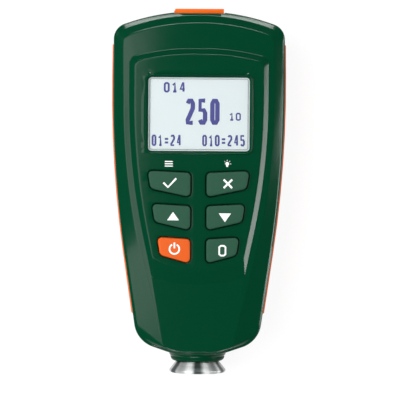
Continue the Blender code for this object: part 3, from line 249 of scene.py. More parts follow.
def build_grain():
    group = bpy.data.node_groups.new("moulded grain", "ShaderNodeTree")
    for name, way, kind in (
            ("Grains per metre", "INPUT", "Float"), ("Roughness", "INPUT", "Float"),
            ("Swing", "INPUT", "Float"), ("Color", "INPUT", "Color"), ("Tone swing", "INPUT", "Float"),
            ("Height", "OUTPUT", "Float"), ("Roughness", "OUTPUT", "Float"), ("Color", "OUTPUT", "Color")):
        group.interface.new_socket(name, in_out=way, socket_type="NodeSocket" + kind)
    given = group.nodes.new("NodeGroupInput")
    result = group.nodes.new("NodeGroupOutput")
    where = add(group, "TexCoord")
    fine = add(group, "TexNoise", {"Detail": 3.0})
    broad = add(group, "TexNoise", {"Detail": 2.0, "Scale": BROAD_PATCHES})
    broad_lean = add(group, "Math", {1: 0.5}, "SUBTRACT")
    swing = add(group, "Math", operation="MULTIPLY_ADD")
    fine_lean = add(group, "Math", {1: 0.5}, "SUBTRACT")
    grey = add(group, "Math", {2: 1.0}, "MULTIPLY_ADD")
    toned = add(group, "VectorMath", operation="SCALE")
    wire(group,
         (where, "Object", fine, "Vector"),
         (where, "Object", broad, "Vector"),
         (given, "Grains per metre", fine, "Scale"),
         (fine, "Fac", result, "Height"),
         (broad, "Fac", broad_lean, 0),
         (broad_lean, "Value", swing, 0),
         (given, "Swing", swing, 1),
         (given, "Roughness", swing, 2),
         (swing, "Value", result, "Roughness"),
         (fine, "Fac", fine_lean, 0),
         (fine_lean, "Value", grey, 0),
         (given, "Tone swing", grey, 1),
         (given, "Color", toned, "Vector"),
         (grey, "Value", toned, "Scale"),
         (toned, "Vector", result, "Color"))
    return group


GRAIN = build_grain()
print("group sockets:", len(GRAIN.interface.items_tree))

# %% [markdown]
# ## Moulded finishes
# Every moulded finish is the Principled shader with the grain behind its colour, roughness and bump.
# What stays the same all over a surface is set on the shader itself.

# %% Moulded materials
def moulded(name, color, roughness, grain=2600.0, bump=0.012, swing=0.10, tone=0.10, specular=0.5,
            alpha=1.0, metallic=0.0, ior=1.5):
    """A finish: grain in grains per metre, bump in millimetres."""
    made, tree = new_material(name)
    shader = add(tree, "BsdfPrincipled", {
        "IOR": ior, "Specular IOR Level": specular, "Alpha": alpha, "Metallic": metallic})
    surface = add(tree, "OutputMaterial")
    grained = add(tree, "Group")
    grained.node_tree = GRAIN
    put(grained, {"Grains per metre": grain, "Roughness": roughness, "Swing": swing,
                  "Color": (*color, 1.0), "Tone swing": tone})
    relief = add(tree, "Bump", {"Distance": bump * MM})
    wire(tree,
         (grained, "Height", relief, "Height"),
         (relief, "Normal", shader, "Normal"),
         (grained, "Roughness", shader, "Roughness"),
         (grained, "Color", shader, "Base Color"),
         (shader, "BSDF", surface, "Surface"))
    return made


SOFT_GLOSS = 0.16
CASE_GREEN = moulded("case green plastic", (0.0005, 0.0415, 0.0172), 0.14, bump=0.006, swing=0.05,
                     specular=SOFT_GLOSS)
KEY_GREEN = moulded("key green rubber", (0.0145, 0.074, 0.041), 0.55, grain=3200.0, specular=SOFT_GLOSS)
COLLAR_GREEN = moulded("collar green plastic", (0.0005, 0.038, 0.0155), 0.3, bump=0.006, ior=1.1)
GRIP_ORANGE = moulded("grip orange rubber", (0.86, 0.13, 0.001), 0.5, grain=3000.0, tone=0.06, specular=0.1)
KEY_ORANGE = moulded("key orange rubber", (0.64, 0.09, 0.002), 0.5, grain=3200.0, tone=0.06, specular=0.2)
WHITE_PLASTIC = moulded("white plastic", (0.78, 0.78, 0.76), 0.5, tone=0.04)
BLACK_PLASTIC = moulded("black plastic", (0.018, 0.018, 0.018), 0.45)
DARK_RUBBER = moulded("dark rubber", (0.03, 0.03, 0.03), 0.75, tone=0.15)
BOARD_GREEN = moulded("board lacquer", (0.01, 0.11, 0.04), 0.32, grain=900.0, bump=0.004)
CELL_WRAP = moulded("cell wrap", (0.05, 0.06, 0.2), 0.3, bump=0.002, tone=0.03)
DISPLAY_WHITE = moulded("display ground", (0.69, 0.77, 0.785), 0.5, bump=0.001, tone=0.015, swing=0.05)
DISPLAY_INK = moulded("display ink", (0.048, 0.055, 0.27), 0.5, bump=0.001, tone=0.05)
PRINT_WHITE = moulded("white print", (0.86, 0.88, 0.86), 0.5, bump=0.002, tone=0.04)
LENS_CLEAR = moulded("clear lens", (0.02, 0.02, 0.02), 0.06, bump=0.0, swing=0.0, tone=0.0, alpha=0.06)
print("materials:", len(bpy.data.materials))

# %% [markdown]
# ## Metals
# The foot is satin turned steel. Fine rings from the tool scatter its light, so it is bright from every
# side. The pale and dark fans that run along the cone are painted reflections in its colour: the
# direction round the probe's axis picks the painted shade of each fan from a ramp. Lines that change
# only along the axis are the tool's rings.
# Screws, springs and contacts share a plainer steel.

# %% Metal materials
PROBE_Z = 12.4 * MM
# Each painted reflection fan: degrees from straight up, and its painted shade.
PAINTED_REFLECTION_FANS = ((-100, 0.40), (-84, 0.50), (-73, 0.60), (-67, 0.05), (-54, 0.05), (-48, 0.42), (-38, 0.38),
        (-30, 0.50), (-25, 0.78), (-20, 0.95), (-14, 0.85), (-9, 0.35), (-5, 0.04), (6, 0.06), (10, 0.30),
        (16, 0.88), (23, 0.88), (28, 0.50), (36, 0.27), (42, 0.28), (47, 0.55), (51, 0.75), (54, 0.45),
        (58, 0.10), (66, 0.12), (72, 0.50), (84, 0.50), (100, 0.40))
# The painted reflection fans take this slight green tint.
PAINTED_FAN_TINT = (0.0, 0.014, 0.011)
RING_SCALE = (60.0, 1800.0, 60.0)
RING_SHADES = (0.72, 1.25)
RING_DEPTH = 0.004 * MM


def metal(name, color, roughness, grain=1800.0):
    return moulded(name, color, roughness, grain=grain, bump=0.003, swing=0.12, tone=0.12, metallic=1.0)


def steel_with_painted_fans(name):
    made, tree = new_material(name)
    shader = add(tree, "BsdfPrincipled", {"Metallic": 0.35, "Specular IOR Level": 0.15, "Roughness": 0.38})
    surface = add(tree, "OutputMaterial")
    where = add(tree, "TexCoord")
    place = add(tree, "SeparateXYZ")
    above_axis = add(tree, "Math", {1: PROBE_Z}, "SUBTRACT")
    direction = add(tree, "Math", operation="ARCTAN2")
    turn = add(tree, "MapRange", {"From Min": -math.pi, "From Max": math.pi})
    # The ramp paints the reflection fans into the base colour, by the direction round the probe's axis.
    painted_fans = add(tree, "ValToRGB")
    ramp = painted_fans.color_ramp
    while len(ramp.elements) < len(PAINTED_REFLECTION_FANS):
        ramp.elements.new(0.5)
    for element, (degrees, shade) in zip(ramp.elements, PAINTED_REFLECTION_FANS):
        element.position = 0.5 + degrees / 360
        element.color = (*(shade + extra for extra in PAINTED_FAN_TINT), 1.0)
    along = add(tree, "VectorMath", {1: RING_SCALE}, "MULTIPLY")
    rings = add(tree, "TexNoise", {"Scale": 1.0})
    ring_shade = add(tree, "MapRange", {"To Min": RING_SHADES[0], "To Max": RING_SHADES[1]})
    toned = add(tree, "VectorMath", operation="SCALE")
    relief = add(tree, "Bump", {"Distance": RING_DEPTH})
    wire(tree,
         (where, "Object", place, "Vector"),
         (place, "Z", above_axis, 0),
         (place, "X", direction, 0),
         (above_axis, "Value", direction, 1),
         (direction, "Value", turn, "Value"),
         (turn, "Result", painted_fans, "Fac"),
         (where, "Object", along, 0),
         (along, "Vector", rings, "Vector"),
         (rings, "Fac", ring_shade, "Value"),
         (painted_fans, "Color", toned, "Vector"),
         (ring_shade, "Result", toned, "Scale"),
         (toned, "Vector", shader, "Base Color"),
         (rings, "Fac", relief, "Height"),
         (relief, "Normal", shader, "Normal"),
         (shader, "BSDF", surface, "Surface"))
    return made


STEEL = metal("plain steel", (0.62, 0.62, 0.63), 0.3)
COPPER = metal("enamelled copper", (0.62, 0.26, 0.12), 0.34)
FOOT_STEEL = steel_with_painted_fans("turned steel")
print("metals ready")

# %% [markdown]
# ## Finishing a piece
# Every new piece ends the same way: its mesh becomes an object at the origin, edges sharper than a set
# angle stay crisp, it gets its material, and it rides on the body that carries it.

# %% Helpers for pieces
SHARP_ANGLE = math.radians(35.0)
MERGE = 0.001 * MM
FLAT_ANGLE = math.radians(0.5)
CORNER_LEAN = 1.3    # a corner's normal leans, so its point moves further to keep the gap


def finish(bm, name, material, body, nodes=()):
    mesh = bpy.data.meshes.new(name)
    bm.to_mesh(mesh)
    bm.free()
    mesh.materials.append(material)
    mesh.shade_smooth()
    mesh.set_sharp_from_angle(angle=SHARP_ANGLE)
    made = bpy.data.objects.new(name, mesh)
    bpy.context.scene.collection.objects.link(made)
    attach(made, body)
    if nodes:
        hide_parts(*nodes)
    return made


def node_mesh(node, gap=0.0):
    """A merged copy of a node's mesh; a gap moves every point outwards along its normal."""
    bm = bmesh.new()
    bm.from_mesh(bpy.data.objects[node].data)
    bmesh.ops.remove_doubles(bm, verts=bm.verts, dist=MERGE)
    bmesh.ops.dissolve_limit(bm, angle_limit=FLAT_ANGLE, verts=bm.verts, edges=bm.edges)
    if gap:
        bm.normal_update()
        for point, normal in [(point, point.normal.copy()) for point in bm.verts]:
            point.co += normal * gap * CORNER_LEAN
    return bm


def cutter(bm, name):
    """A closed shape that is only cut away from others."""
    bmesh.ops.recalc_face_normals(bm, faces=bm.faces)
    mesh = bpy.data.meshes.new(name)
    bm.to_mesh(mesh)
    bm.free()
    made = bpy.data.objects.new(name, mesh)
    bpy.context.scene.collection.objects.link(made)
    return made


def cut(made, *tools):
    """Cuts the tools from a piece, applies the cuts and removes the tools."""
    for tool in tools:
        modifier = made.modifiers.new(tool.name, "BOOLEAN")
        modifier.operation = "DIFFERENCE"
        modifier.solver = "MANIFOLD"
        modifier.object = tool
    bpy.context.view_layer.update()
    shape = made.evaluated_get(bpy.context.evaluated_depsgraph_get())
    mesh = bpy.data.meshes.new_from_object(shape)
    made.modifiers.clear()
    made.data = mesh
    for tool in tools:
        bpy.data.objects.remove(tool)
    mesh.set_sharp_from_angle(angle=SHARP_ANGLE)
    return made


print("helpers ready")

# %% [markdown]
# ## Outlines
# Every edge of the case is a line of corners with its own rounding. An arc is worked out from its
# corner, so a shape needs only a few named places. The same five corners, moved inwards by a little
# more each time, give the shoulder, the ridge and the raised field.

# %% Outline helpers
def rounded(corners, closed=False):
    """Points of a line of corners (x, y, radius, steps); an open line keeps its two end points."""
    points = []
    count = len(corners)
    for index, (x, y, radius, steps) in enumerate(corners):
        here = Vector((x, y))
        if not closed and index in (0, count - 1):
            points.append(here)
            continue
        last, following = (Vector(corners[near % count][:2]) - here for near in (index - 1, index + 1))
        shares = [0.49, 0.49] if closed else [
            0.97 if near in (0, count - 1) else 0.75 for near in (index - 1, index + 1)]
        half = last.angle(following) / 2
        reach = min(radius / math.tan(half), shares[0] * last.length, shares[1] * following.length)
        to_last, to_next = last.normalized(), following.normalized()
        centre = here + (to_last + to_next).normalized() * reach / math.cos(half)
        start = here + to_last * reach - centre
        sweep = start.angle_signed(here + to_next * reach - centre)
        for step in range(steps + 1):
            points.append(centre + Matrix.Rotation(-sweep * step / steps, 2) @ start)
    return points


def ring(half):
    return list(half) + [Vector((-p.x, p.y)) for p in reversed(half[1:-1])]


def inset(points, distance):
    """A closed outline moved inwards by a distance; a negative one moves it outwards."""
    count = len(points)
    area = sum(a.x * b.y - b.x * a.y for a, b in zip(points, points[1:] + points[:1]))
    side = 1.0 if area > 0 else -1.0
    moved = []
    for index, here in enumerate(points):
        before = (here - points[index - 1]).normalized()
        after = (points[(index + 1) % count] - here).normalized()
        along = (before + after).normalized()
        moved.append(here + Vector((-along.y, along.x)) * side * distance / max(0.5, along.dot(before)))
    return moved


def rectangle(width, height, radius, y=0.0, steps=8):
    right, top = width / 2, height / 2
    corners = [(-right, y - top), (-right, y + top), (right, y + top), (right, y - top)]
    return rounded([(*corner, radius, steps) for corner in corners], closed=True)


def mirrored(points):
    return [Vector((-p.x, p.y)) for p in reversed(points)]


print("a test corner has", len(rounded([(0, 0, 0, 0), (1, 0, 0.2, 6), (1, 1, 0, 0)])), "points")

# %% [markdown]
# Five corners on the right half make the case's outline: the crown, the upper corner, the waist, the
# lower corner and the heel. Every further outline says how far its corners lie inside these.

# %% Case outlines
TOP_Y = 55.9 * MM
BOTTOM_Y = -50.9 * MM
CORNER_X, CORNER_DROP, CORNER_RADIUS = 26.5 * MM, 5.1 * MM, 5.0 * MM
WAIST_X, WAIST_Y, WAIST_RADIUS = 27.0 * MM, 8.5 * MM, 350.0 * MM
FOOT_X, FOOT_RISE, FOOT_RADIUS = 18.9 * MM, 4.4 * MM, 8.6 * MM
CROWN_X, CROWN_RADIUS = 11.5 * MM, 66.0 * MM
HEEL_X, HEEL_RADIUS = 6.0 * MM, 24.0 * MM
CORNER_STEPS = (14, 14, 14, 14, 8)
RIDGE_WAIST, FIELD_WAIST = 3.8 * MM, 7.1 * MM


def case_outline(top=0.0, drop=0.0, corner=0.0, corner_radius=CORNER_RADIUS, waist=0.0, waist_y=WAIST_Y,
                 waist_radius=WAIST_RADIUS, foot=0.0, rise=0.0, foot_radius=FOOT_RADIUS, bottom=0.0,
                 crown_x=CROWN_X, heel_x=HEEL_X, heel_radius=HEEL_RADIUS):
    """A plan outline, given by how far each corner lies inside the case's own."""
    high, low = TOP_Y - top, BOTTOM_Y + bottom
    crown, corner_steps, waist_steps, foot_steps, heel = CORNER_STEPS
    return ring(rounded([
        (0.0, high, 0.0, 0),
        (crown_x, high, CROWN_RADIUS, crown),
        (CORNER_X - corner, high - CORNER_DROP + drop, corner_radius, corner_steps),
        (WAIST_X - waist, waist_y, waist_radius, waist_steps),
        (FOOT_X - foot, low + FOOT_RISE - rise, foot_radius, foot_steps),
        (heel_x, low, heel_radius, heel),
        (0.0, low, 0.0, 0)]))


BODY = case_outline()
SHOULDER = case_outline(top=1.5 * MM, corner=0.7 * MM, waist=0.55 * MM, foot=0.9 * MM, bottom=0.7 * MM)
RIDGE = case_outline(
    top=3.85 * MM, drop=0.85 * MM, corner=3.3 * MM, corner_radius=3.2 * MM, waist=RIDGE_WAIST,
    waist_y=4.3 * MM, waist_radius=200 * MM, foot=8.3 * MM, rise=2.9 * MM, foot_radius=1.5 * MM,
    bottom=1.3 * MM, crown_x=10.5 * MM, heel_x=5.0 * MM, heel_radius=15 * MM)
FIELD_FOOT = case_outline(
    top=11.8 * MM, drop=2.5 * MM, corner=4.9 * MM, corner_radius=2.6 * MM, waist=5.4 * MM,
    waist_y=7.3 * MM, waist_radius=200 * MM, foot=4.6 * MM, rise=2.3 * MM, foot_radius=1.2 * MM,
    bottom=22.3 * MM, crown_x=9.5 * MM, heel_x=7.0 * MM, heel_radius=28 * MM)
FIELD_TOP = case_outline(
    top=13.7 * MM, drop=2.8 * MM, corner=6.7 * MM, corner_radius=2.2 * MM, waist=FIELD_WAIST,
    waist_y=8.7 * MM, waist_radius=200 * MM, foot=4.9 * MM, rise=0.95 * MM, foot_radius=1.0 * MM,
    bottom=26.95 * MM, crown_x=9.3 * MM, heel_x=7.0 * MM, heel_radius=27 * MM)
print("points in an outline:", len(BODY))

# %% [markdown]
# ## The front shell
# On the real gauge this is one injection moulding: an upright wall, a rolled shoulder, a slope up to a
# ridge, a nearly flat face, and a raised field for the display and keys. It could be a box with many
# bevels, but its outlines differ at each height, so it is drawn as rings instead. A ring of edges is
# extruded again and again, and each new ring moves to the next outline. Each corner of the section is
# rolled over with a short curve, so the ridges catch a soft line of light as moulded ones do. Towards
# the top end the rim arches up a little and the ridge dips.

# %% Front shell: sections
PARTING_Z = PROBE_Z
GAP = 0.3 * MM
SIDE_TOP_Z = 21.3 * MM
SHOULDER_Z = 21.9 * MM
FACE_Z = 23.8 * MM
PLATEAU_Z = 25.2 * MM
CROWN_HEIGHT = 0.6 * MM
RIDGE_HALF = WAIST_X - RIDGE_WAIST
FIELD_HALF = WAIST_X - FIELD_WAIST
FIELD_EDGE = 0.6 * MM
CORNER_ROLLS = [width * MM for width in (0.4, 0.2, 0.5, 0.25, 0.25)]
ARCH_START, ARCH_RUN = 38.0 * MM, 12.0 * MM
RIM_ARCH, RIDGE_ARCH = 0.4 * MM, -0.3 * MM


def crown_z(x, edge_z, half_width):
    return edge_z + CROWN_HEIGHT * (1.0 - min(1.0, abs(x) / half_width) ** 2)


def level(points, z):
    return [Vector((p.x, p.y, z)) for p in points]


def crowned(points, edge_z, half_width):
    return [Vector((p.x, p.y, crown_z(p.x, edge_z, half_width))) for p in points]


def rolled(rings, widths, steps=5):
    """Rings through a section whose inner corners are rounded over the given widths."""
    made = [rings[0]]
    for before, here, after, width in zip(rings, rings[1:], rings[2:], widths):
        for step in range(steps + 1):
            t = step / steps
            row = []
            for a, b, c in zip(before, here, after):
                start = b + (a - b) * min(0.45, width / max((a - b).length, 1e-9))
                end = b + (c - b) * min(0.45, width / max((c - b).length, 1e-9))
                row.append(start * (1 - t) ** 2 + b * 2 * t * (1 - t) + end * t ** 2)
            made.append(row)
    made.append(rings[-1])
    return made


def first_ring(bm, points):
    """Draws a closed ring of edges."""
    corners = [bm.verts.new(point) for point in points]
    return corners, [bm.edges.new((a, b)) for a, b in zip(corners, corners[1:] + corners[:1])]


def grow(bm, corners, edges, rings):
    """Extrudes a ring of edges through the rings that follow; returns the last one."""
    for points in rings:
        made = bmesh.ops.extrude_edge_only(bm, edges=edges)
        fresh = [item for item in made["geom"] if isinstance(item, bmesh.types.BMVert)]
        new_edges = [item for item in made["geom"] if isinstance(item, bmesh.types.BMEdge)]
        loose = {vertex: None for vertex in fresh}
        following = []
        for corner in corners:
            partner = next(edge.other_vert(corner) for edge in corner.link_edges
                           if edge.other_vert(corner) in loose)
            following.append(partner)
        for vertex, point in zip(following, points):
            vertex.co = point
        kept = set(following)
        edges = [edge for edge in new_edges if edge.verts[0] in kept and edge.verts[1] in kept]
        corners = following
    return corners, edges


def solid_of(rings):
    """A closed shape through a row of rings, with a face at each end."""
    bm = bmesh.new()
    corners, edges = first_ring(bm, rings[0])
    bm.faces.new(corners)
    corners, edges = grow(bm, corners, edges, rings[1:])
    bm.faces.new(corners)
    bmesh.ops.recalc_face_normals(bm, faces=bm.faces)
    return bm


def arched(points, lift):
    """Lifts an outline towards the top end."""
    return [p + Vector((0.0, 0.0, lift * min(1.0, max(0.0, (p.y - ARCH_START) / ARCH_RUN)))) for p in points]


front_rings = rolled([
    level(BODY, PARTING_Z + GAP / 2),
    arched(level(BODY, SIDE_TOP_Z), RIM_ARCH),
    arched(level(SHOULDER, SHOULDER_Z), RIM_ARCH),
    arched(crowned(RIDGE, FACE_Z, RIDGE_HALF), RIDGE_ARCH),
    crowned(FIELD_FOOT, FACE_Z, RIDGE_HALF),
    crowned(FIELD_TOP, PLATEAU_Z, FIELD_HALF),
    crowned(inset(FIELD_TOP, FIELD_EDGE), PLATEAU_Z, FIELD_HALF),
], CORNER_ROLLS)
print("rings in the front shell:", len(front_rings))

# %% [markdown]
# The raised field is filled in one go between its edge and the rims of the window and the key holes,
# then cut into a lattice so that it can bulge. The window has a rounded lip that stands a little
# proud. The key holes have softly broken edges and walls that go down past the keys.

# %% Front shell: window and key holes
WINDOW_WIDTH = 31.4 * MM
WINDOW_HEIGHT = 22.8 * MM
WINDOW_Y = 23.8 * MM
WINDOW_RADIUS = 1.15 * MM
KEY_INNER_X = 2.45 * MM
KEY_OUTER_X = (15.65 * MM, 14.3 * MM, 12.6 * MM)
KEY_TOP_Y = 6.35 * MM
KEY_PITCH = 10.2 * MM
KEY_HEIGHT = 8.1 * MM
KEY_SLOPE = 0.6 * MM
KEY_RADIUS = 1.25 * MM
KEY_TAPER = 0.9 * MM
KEY_BEND, KEY_BEND_ROUNDING = 0.68, 1.4
HOLE_ROLL = 0.25 * MM
HOLE_DEPTH = 2.6 * MM
LIP_WIDTH = 0.9 * MM
LIP_TOP_Z = 25.95 * MM


def key_outline(row, side, steps=7):
    """Four-cornered key; its lower edge runs up to the outer side."""
    top = KEY_TOP_Y - row * KEY_PITCH
    outer = KEY_OUTER_X[row]
    points = rounded([
        (KEY_INNER_X, top - KEY_SLOPE, KEY_RADIUS, steps),
        (outer, top, KEY_RADIUS, steps),
        (outer - KEY_TAPER, top - KEY_HEIGHT * KEY_BEND, KEY_RADIUS * KEY_BEND_ROUNDING, steps),
        (KEY_INNER_X, top - KEY_HEIGHT, KEY_RADIUS, steps)], closed=True)
    return points if side > 0 else mirrored(points)


def on_field(points, lift=0.0):
    return [Vector((p.x, p.y, crown_z(p.x, PLATEAU_Z, FIELD_HALF) + lift)) for p in points]


def window_outline(extra):
    return rectangle(WINDOW_WIDTH + 2 * extra, WINDOW_HEIGHT + 2 * extra, WINDOW_RADIUS + extra, y=WINDOW_Y)


KEY_PLACES = (("set_key", 0, -1), ("cancel_key", 0, 1), ("up_key", 1, -1),
              ("down_key", 1, 1), ("power_key", 2, -1), ("zero_key", 2, 1))
# Shares of the lip's width, with shares of its rise outside and millimetres below its top inside.
LIP_OUTER = ((0.93, 0.3), (0.86, 0.65), (0.79, 0.9), (0.72, 1.0))
LIP_INNER = ((0.66, 0.01), (0.58, 0.05), (0.0, 0.40))
HOLE_STEPS = 4

bm = bmesh.new()
corners, edges = first_ring(bm, front_rings[0])
corners, edges = grow(bm, corners, edges, front_rings[1:])
rims = list(edges)
holes = []
for name, row, side in KEY_PLACES:
    edge = inset(key_outline(row, side), -GAP - HOLE_ROLL)
    loop_corners, loop_edges = first_ring(bm, on_field(edge))
    rims += loop_edges
    steps = [math.pi / 2 * step / HOLE_STEPS for step in range(1, HOLE_STEPS + 1)]
    walls = [on_field(inset(edge, HOLE_ROLL * math.sin(a)), HOLE_ROLL * (math.cos(a) - 1)) for a in steps]
    walls.append(on_field(inset(edge, HOLE_ROLL), -HOLE_DEPTH))
    holes.append((loop_corners, loop_edges, walls))
loop_corners, loop_edges = first_ring(bm, on_field(window_outline(LIP_WIDTH)))
rims += loop_edges
walls = []
for share, rise in LIP_OUTER:
    low = on_field(window_outline(LIP_WIDTH * share))
    walls.append([Vector((p.x, p.y, p.z + (LIP_TOP_Z - p.z) * rise)) for p in low])
for share, drop in LIP_INNER:
    walls.append(level(window_outline(LIP_WIDTH * share), LIP_TOP_Z - drop * MM))
walls.append(level(window_outline(0.0), LIP_TOP_Z - HOLE_DEPTH))
holes.append((loop_corners, loop_edges, walls))
filled = bmesh.ops.triangle_fill(bm, use_beauty=True, edges=rims, normal=(0.0, 0.0, 1.0))
field = [item for item in filled["geom"] if isinstance(item, bmesh.types.BMFace)]
for loop_corners, loop_edges, walls in holes:
    grow(bm, loop_corners, loop_edges, walls)
print("faces in the raised field before the lattice:", len(field))

# %% [markdown]
# Cuts two millimetres apart give the filled field its lattice, and each of its points then moves up to
# the bulge. A modifier adds the wall behind it. Last come the cuts: seats for the grips and the socket
# cover, a bore for the collar, and a shallow notch in the rim where a thumb lifts the socket cover.

# %% Front shell: lattice, wall and cuts
LATTICE = 2.0 * MM
SHELL_WALL = 1.5 * MM
COLLAR_ROOM_RADIUS, COLLAR_ROOM_DEPTH = 9.2 * MM, 4.0 * MM
THUMB_DEPTH, THUMB_REACH, THUMB_HEIGHT = 0.65 * MM, 4.0 * MM, 6.0 * MM
for axis, reach in ((0, FIELD_HALF), (1, TOP_Y)):
    steps = int(2 * reach / LATTICE)
    for index in range(1, steps):
        normal = [0.0, 0.0, 0.0]
        normal[axis] = 1.0
        place = [0.0, 0.0, 0.0]
        place[axis] = -reach + 2 * reach * index / steps
        field = [face for face in field if face.is_valid]
        parts = list({item for face in field for item in (*face.verts, *face.edges)}) + field
        done = bmesh.ops.bisect_plane(bm, geom=parts, plane_co=place, plane_no=normal)
        field = [item for item in done["geom"] if isinstance(item, bmesh.types.BMFace)]
for vertex in {vertex for face in field for vertex in face.verts}:
    vertex.co.z = crown_z(vertex.co.x, PLATEAU_Z, FIELD_HALF)
bmesh.ops.recalc_face_normals(bm, faces=bm.faces)
if sum(face.normal.z * face.calc_area() for face in bm.faces) < 0.0:
    bmesh.ops.reverse_faces(bm, faces=bm.faces)
front_shell = finish(bm, "front_shell", CASE_GREEN, "housing", nodes=("front_housing",))
wall = front_shell.modifiers.new("wall", "SOLIDIFY")
wall.thickness = SHELL_WALL
wall.offset = -1.0


def collar_room():
    """The round bore in which the probe's collar sits."""
    made = bmesh.new()
    turn = Matrix.Translation((0.0, BOTTOM_Y, PROBE_Z)) @ Matrix.Rotation(math.radians(90), 4, "X")
    bmesh.ops.create_cone(made, cap_ends=True, segments=96, radius1=COLLAR_ROOM_RADIUS,
                          radius2=COLLAR_ROOM_RADIUS, depth=COLLAR_ROOM_DEPTH, matrix=turn)
    return cutter(made, "collar room")


def side_rooms():
    rooms = [cutter(node_mesh(node, GAP), f"room for {node}")
             for node in ("side_grip_left", "side_grip_right", "socket_cover")]
    return rooms + [collar_room()]


def thumb_notch():
    """Opens the rim over the socket cover, so that a thumb can lift it."""
    half_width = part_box("socket_cover")[1][0] + GAP
    made = bmesh.new()
    bmesh.ops.create_cube(made, size=1.0, matrix=Matrix.Translation(
        (0.0, TOP_Y - THUMB_DEPTH + THUMB_REACH / 2, SIDE_TOP_Z)) @ Matrix.Diagonal(
        (2 * half_width, THUMB_REACH, THUMB_HEIGHT, 1.0)))
    return cutter(made, "thumb notch")


cut(front_shell, *side_rooms(), thumb_notch())
print("front shell:", len(front_shell.data.polygons), "faces")

# %% [markdown]
# ## The rear shell
# The back half is plain: upright sides that roll into a flat back, a seat for the battery cover, and
# four sunk screws. Its rings start on the floor inside, go up the inner wall to the parting line, and
# come down the outside to the back face. The seat and the screw recesses are cut into it afterwards.

# %% Rear shell
BACK_INSET = 4.2 * MM
BACK_RISE = 5.0 * MM
BACK_WALL = 3.4 * MM
SCREW_PLACES = [(side * x * MM, y * MM) for x, y in ((20.0, 45.5), (13.0, -37.5)) for side in (-1, 1)]
HEAD_HOLE = 2.6 * MM
HEAD_SEAT = 2.3 * MM
SIDE_WALL = 2.0 * MM
BACK_ROLL, BACK_EDGE = 1.2 * MM, 1.0 * MM
COVER_SEAT_DEPTH = 2.2 * MM
COVER_SEAT_RADIUS = 3.0 * MM
COVER_TONGUE = 1.6 * MM


def circle(x, y, radius, steps=32):
    turns = [2 * math.pi * k / steps for k in range(steps)]
    return [Vector((x + radius * math.cos(a), y + radius * math.sin(a))) for a in turns]


def seat_outline(extra):
    """Outline of the battery cover, taken from its own box, plus a gap."""
    low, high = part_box("battery_cover")
    return rectangle(high[0] - low[0] + 2 * extra, high[1] - COVER_TONGUE - low[1] + 2 * extra,
                     COVER_SEAT_RADIUS, y=(high[1] - COVER_TONGUE + low[1]) / 2)


def column(name, points, low, high):
    """An upright closed shape to cut with."""
    return cutter(solid_of([level(points, low), level(points, high)]), name)


inner = inset(BODY, SIDE_WALL)
rear_rings = [
    level(inset(inner, BACK_INSET), BACK_WALL),
    level(inset(inner, 0.3 * BACK_INSET), 1.6 * BACK_WALL),
    level(inner, 2.2 * BACK_WALL),
    level(inner, PARTING_Z - GAP / 2)]
rear_rings += rolled([
    level(BODY, PARTING_Z - GAP / 2),
    level(BODY, BACK_RISE + BACK_WALL),
    level(inset(BODY, 0.1 * BACK_INSET), 0.7 * BACK_RISE),
    level(inset(BODY, 0.38 * BACK_INSET), 0.3 * BACK_RISE),
    level(inset(BODY, BACK_INSET), 0.0),
    level(inset(BODY, BACK_INSET + BACK_EDGE), 0.0),
], [BACK_ROLL, BACK_ROLL, BACK_ROLL, BACK_EDGE], steps=3)
rear_shell = finish(solid_of(rear_rings), "rear_shell", CASE_GREEN, "housing",
                    nodes=("rear_housing",))
recesses = [column("cover seat", seat_outline(GAP), -GAP, COVER_SEAT_DEPTH)]
for number, (x, y) in enumerate(SCREW_PLACES):
    recesses.append(column(f"screw recess {number}", circle(x, y, HEAD_HOLE), -GAP, HEAD_SEAT))
cut(rear_shell, *recesses)
cut(rear_shell, *side_rooms())
print("rear shell:", len(rear_shell.data.polygons), "faces")

# %% [markdown]
# ## The keys
# Each key is a cap of silicone rubber that stands a millimetre out of its hole. Its top is slightly
# domed and its edge well rounded. The cap keeps the skirt that stops it from falling out, so it is
# drawn from the skirt upwards.

# %% Keys
KEY_TOP_Z = 27.0 * MM
SKIRT_LOW_Z = 20.3 * MM
SKIRT_TOP_Z = 21.5 * MM
SKIRT = 0.7 * MM
KEY_ROLL = 0.55 * MM
KEY_DOME = 0.04 * MM
MARK_ROOM = 0.05 * MM
KEY_FACE_Z = KEY_TOP_Z - MARK_ROOM
ROLL_STEPS = 6


def key_cap(name, row, side, material):
    outline = key_outline(row, side)
    rings = [level(inset(outline, -SKIRT), SKIRT_LOW_Z), level(inset(outline, -SKIRT), SKIRT_TOP_Z),
             level(outline, SKIRT_TOP_Z), level(outline, KEY_FACE_Z - KEY_DOME - KEY_ROLL)]
    for step in range(1, ROLL_STEPS + 1):
        a = math.pi / 2 * step / ROLL_STEPS
        rings.append(level(inset(outline, KEY_ROLL * (1 - math.cos(a))),
                           KEY_FACE_Z - KEY_DOME - KEY_ROLL * (1 - math.sin(a))))
    rim = inset(outline, KEY_ROLL)
    middle = Vector((side * (KEY_INNER_X + KEY_OUTER_X[row]) / 2,
                     KEY_TOP_Y - row * KEY_PITCH - KEY_HEIGHT / 2))
    for share in (0.2, 0.45, 0.7):
        rings.append(level([p.lerp(middle, share) for p in rim], KEY_FACE_Z - KEY_DOME * (1 - share) ** 2))
    finish(solid_of(rings), f"{name}_cap", material, name, nodes=(name,))


for name, row, side in KEY_PLACES:
    orange = name == "power_key"
    key_cap(name, row, side, KEY_ORANGE if orange else KEY_GREEN)
print("keys:", len(KEY_PLACES))

# %% [markdown]
# ## Print and display characters
# The marks on the keys and the characters on the display are all drawn with strokes. A stroke is a
# curve with a round section, made a mesh and pressed flat, which is close to how a pad print sits on
# rubber. The characters are plain numbers, and the keys carry only the usual symbols.

# %% Strokes
STROKE_HEIGHT = 0.02 * MM
CHAMFER = 0.27
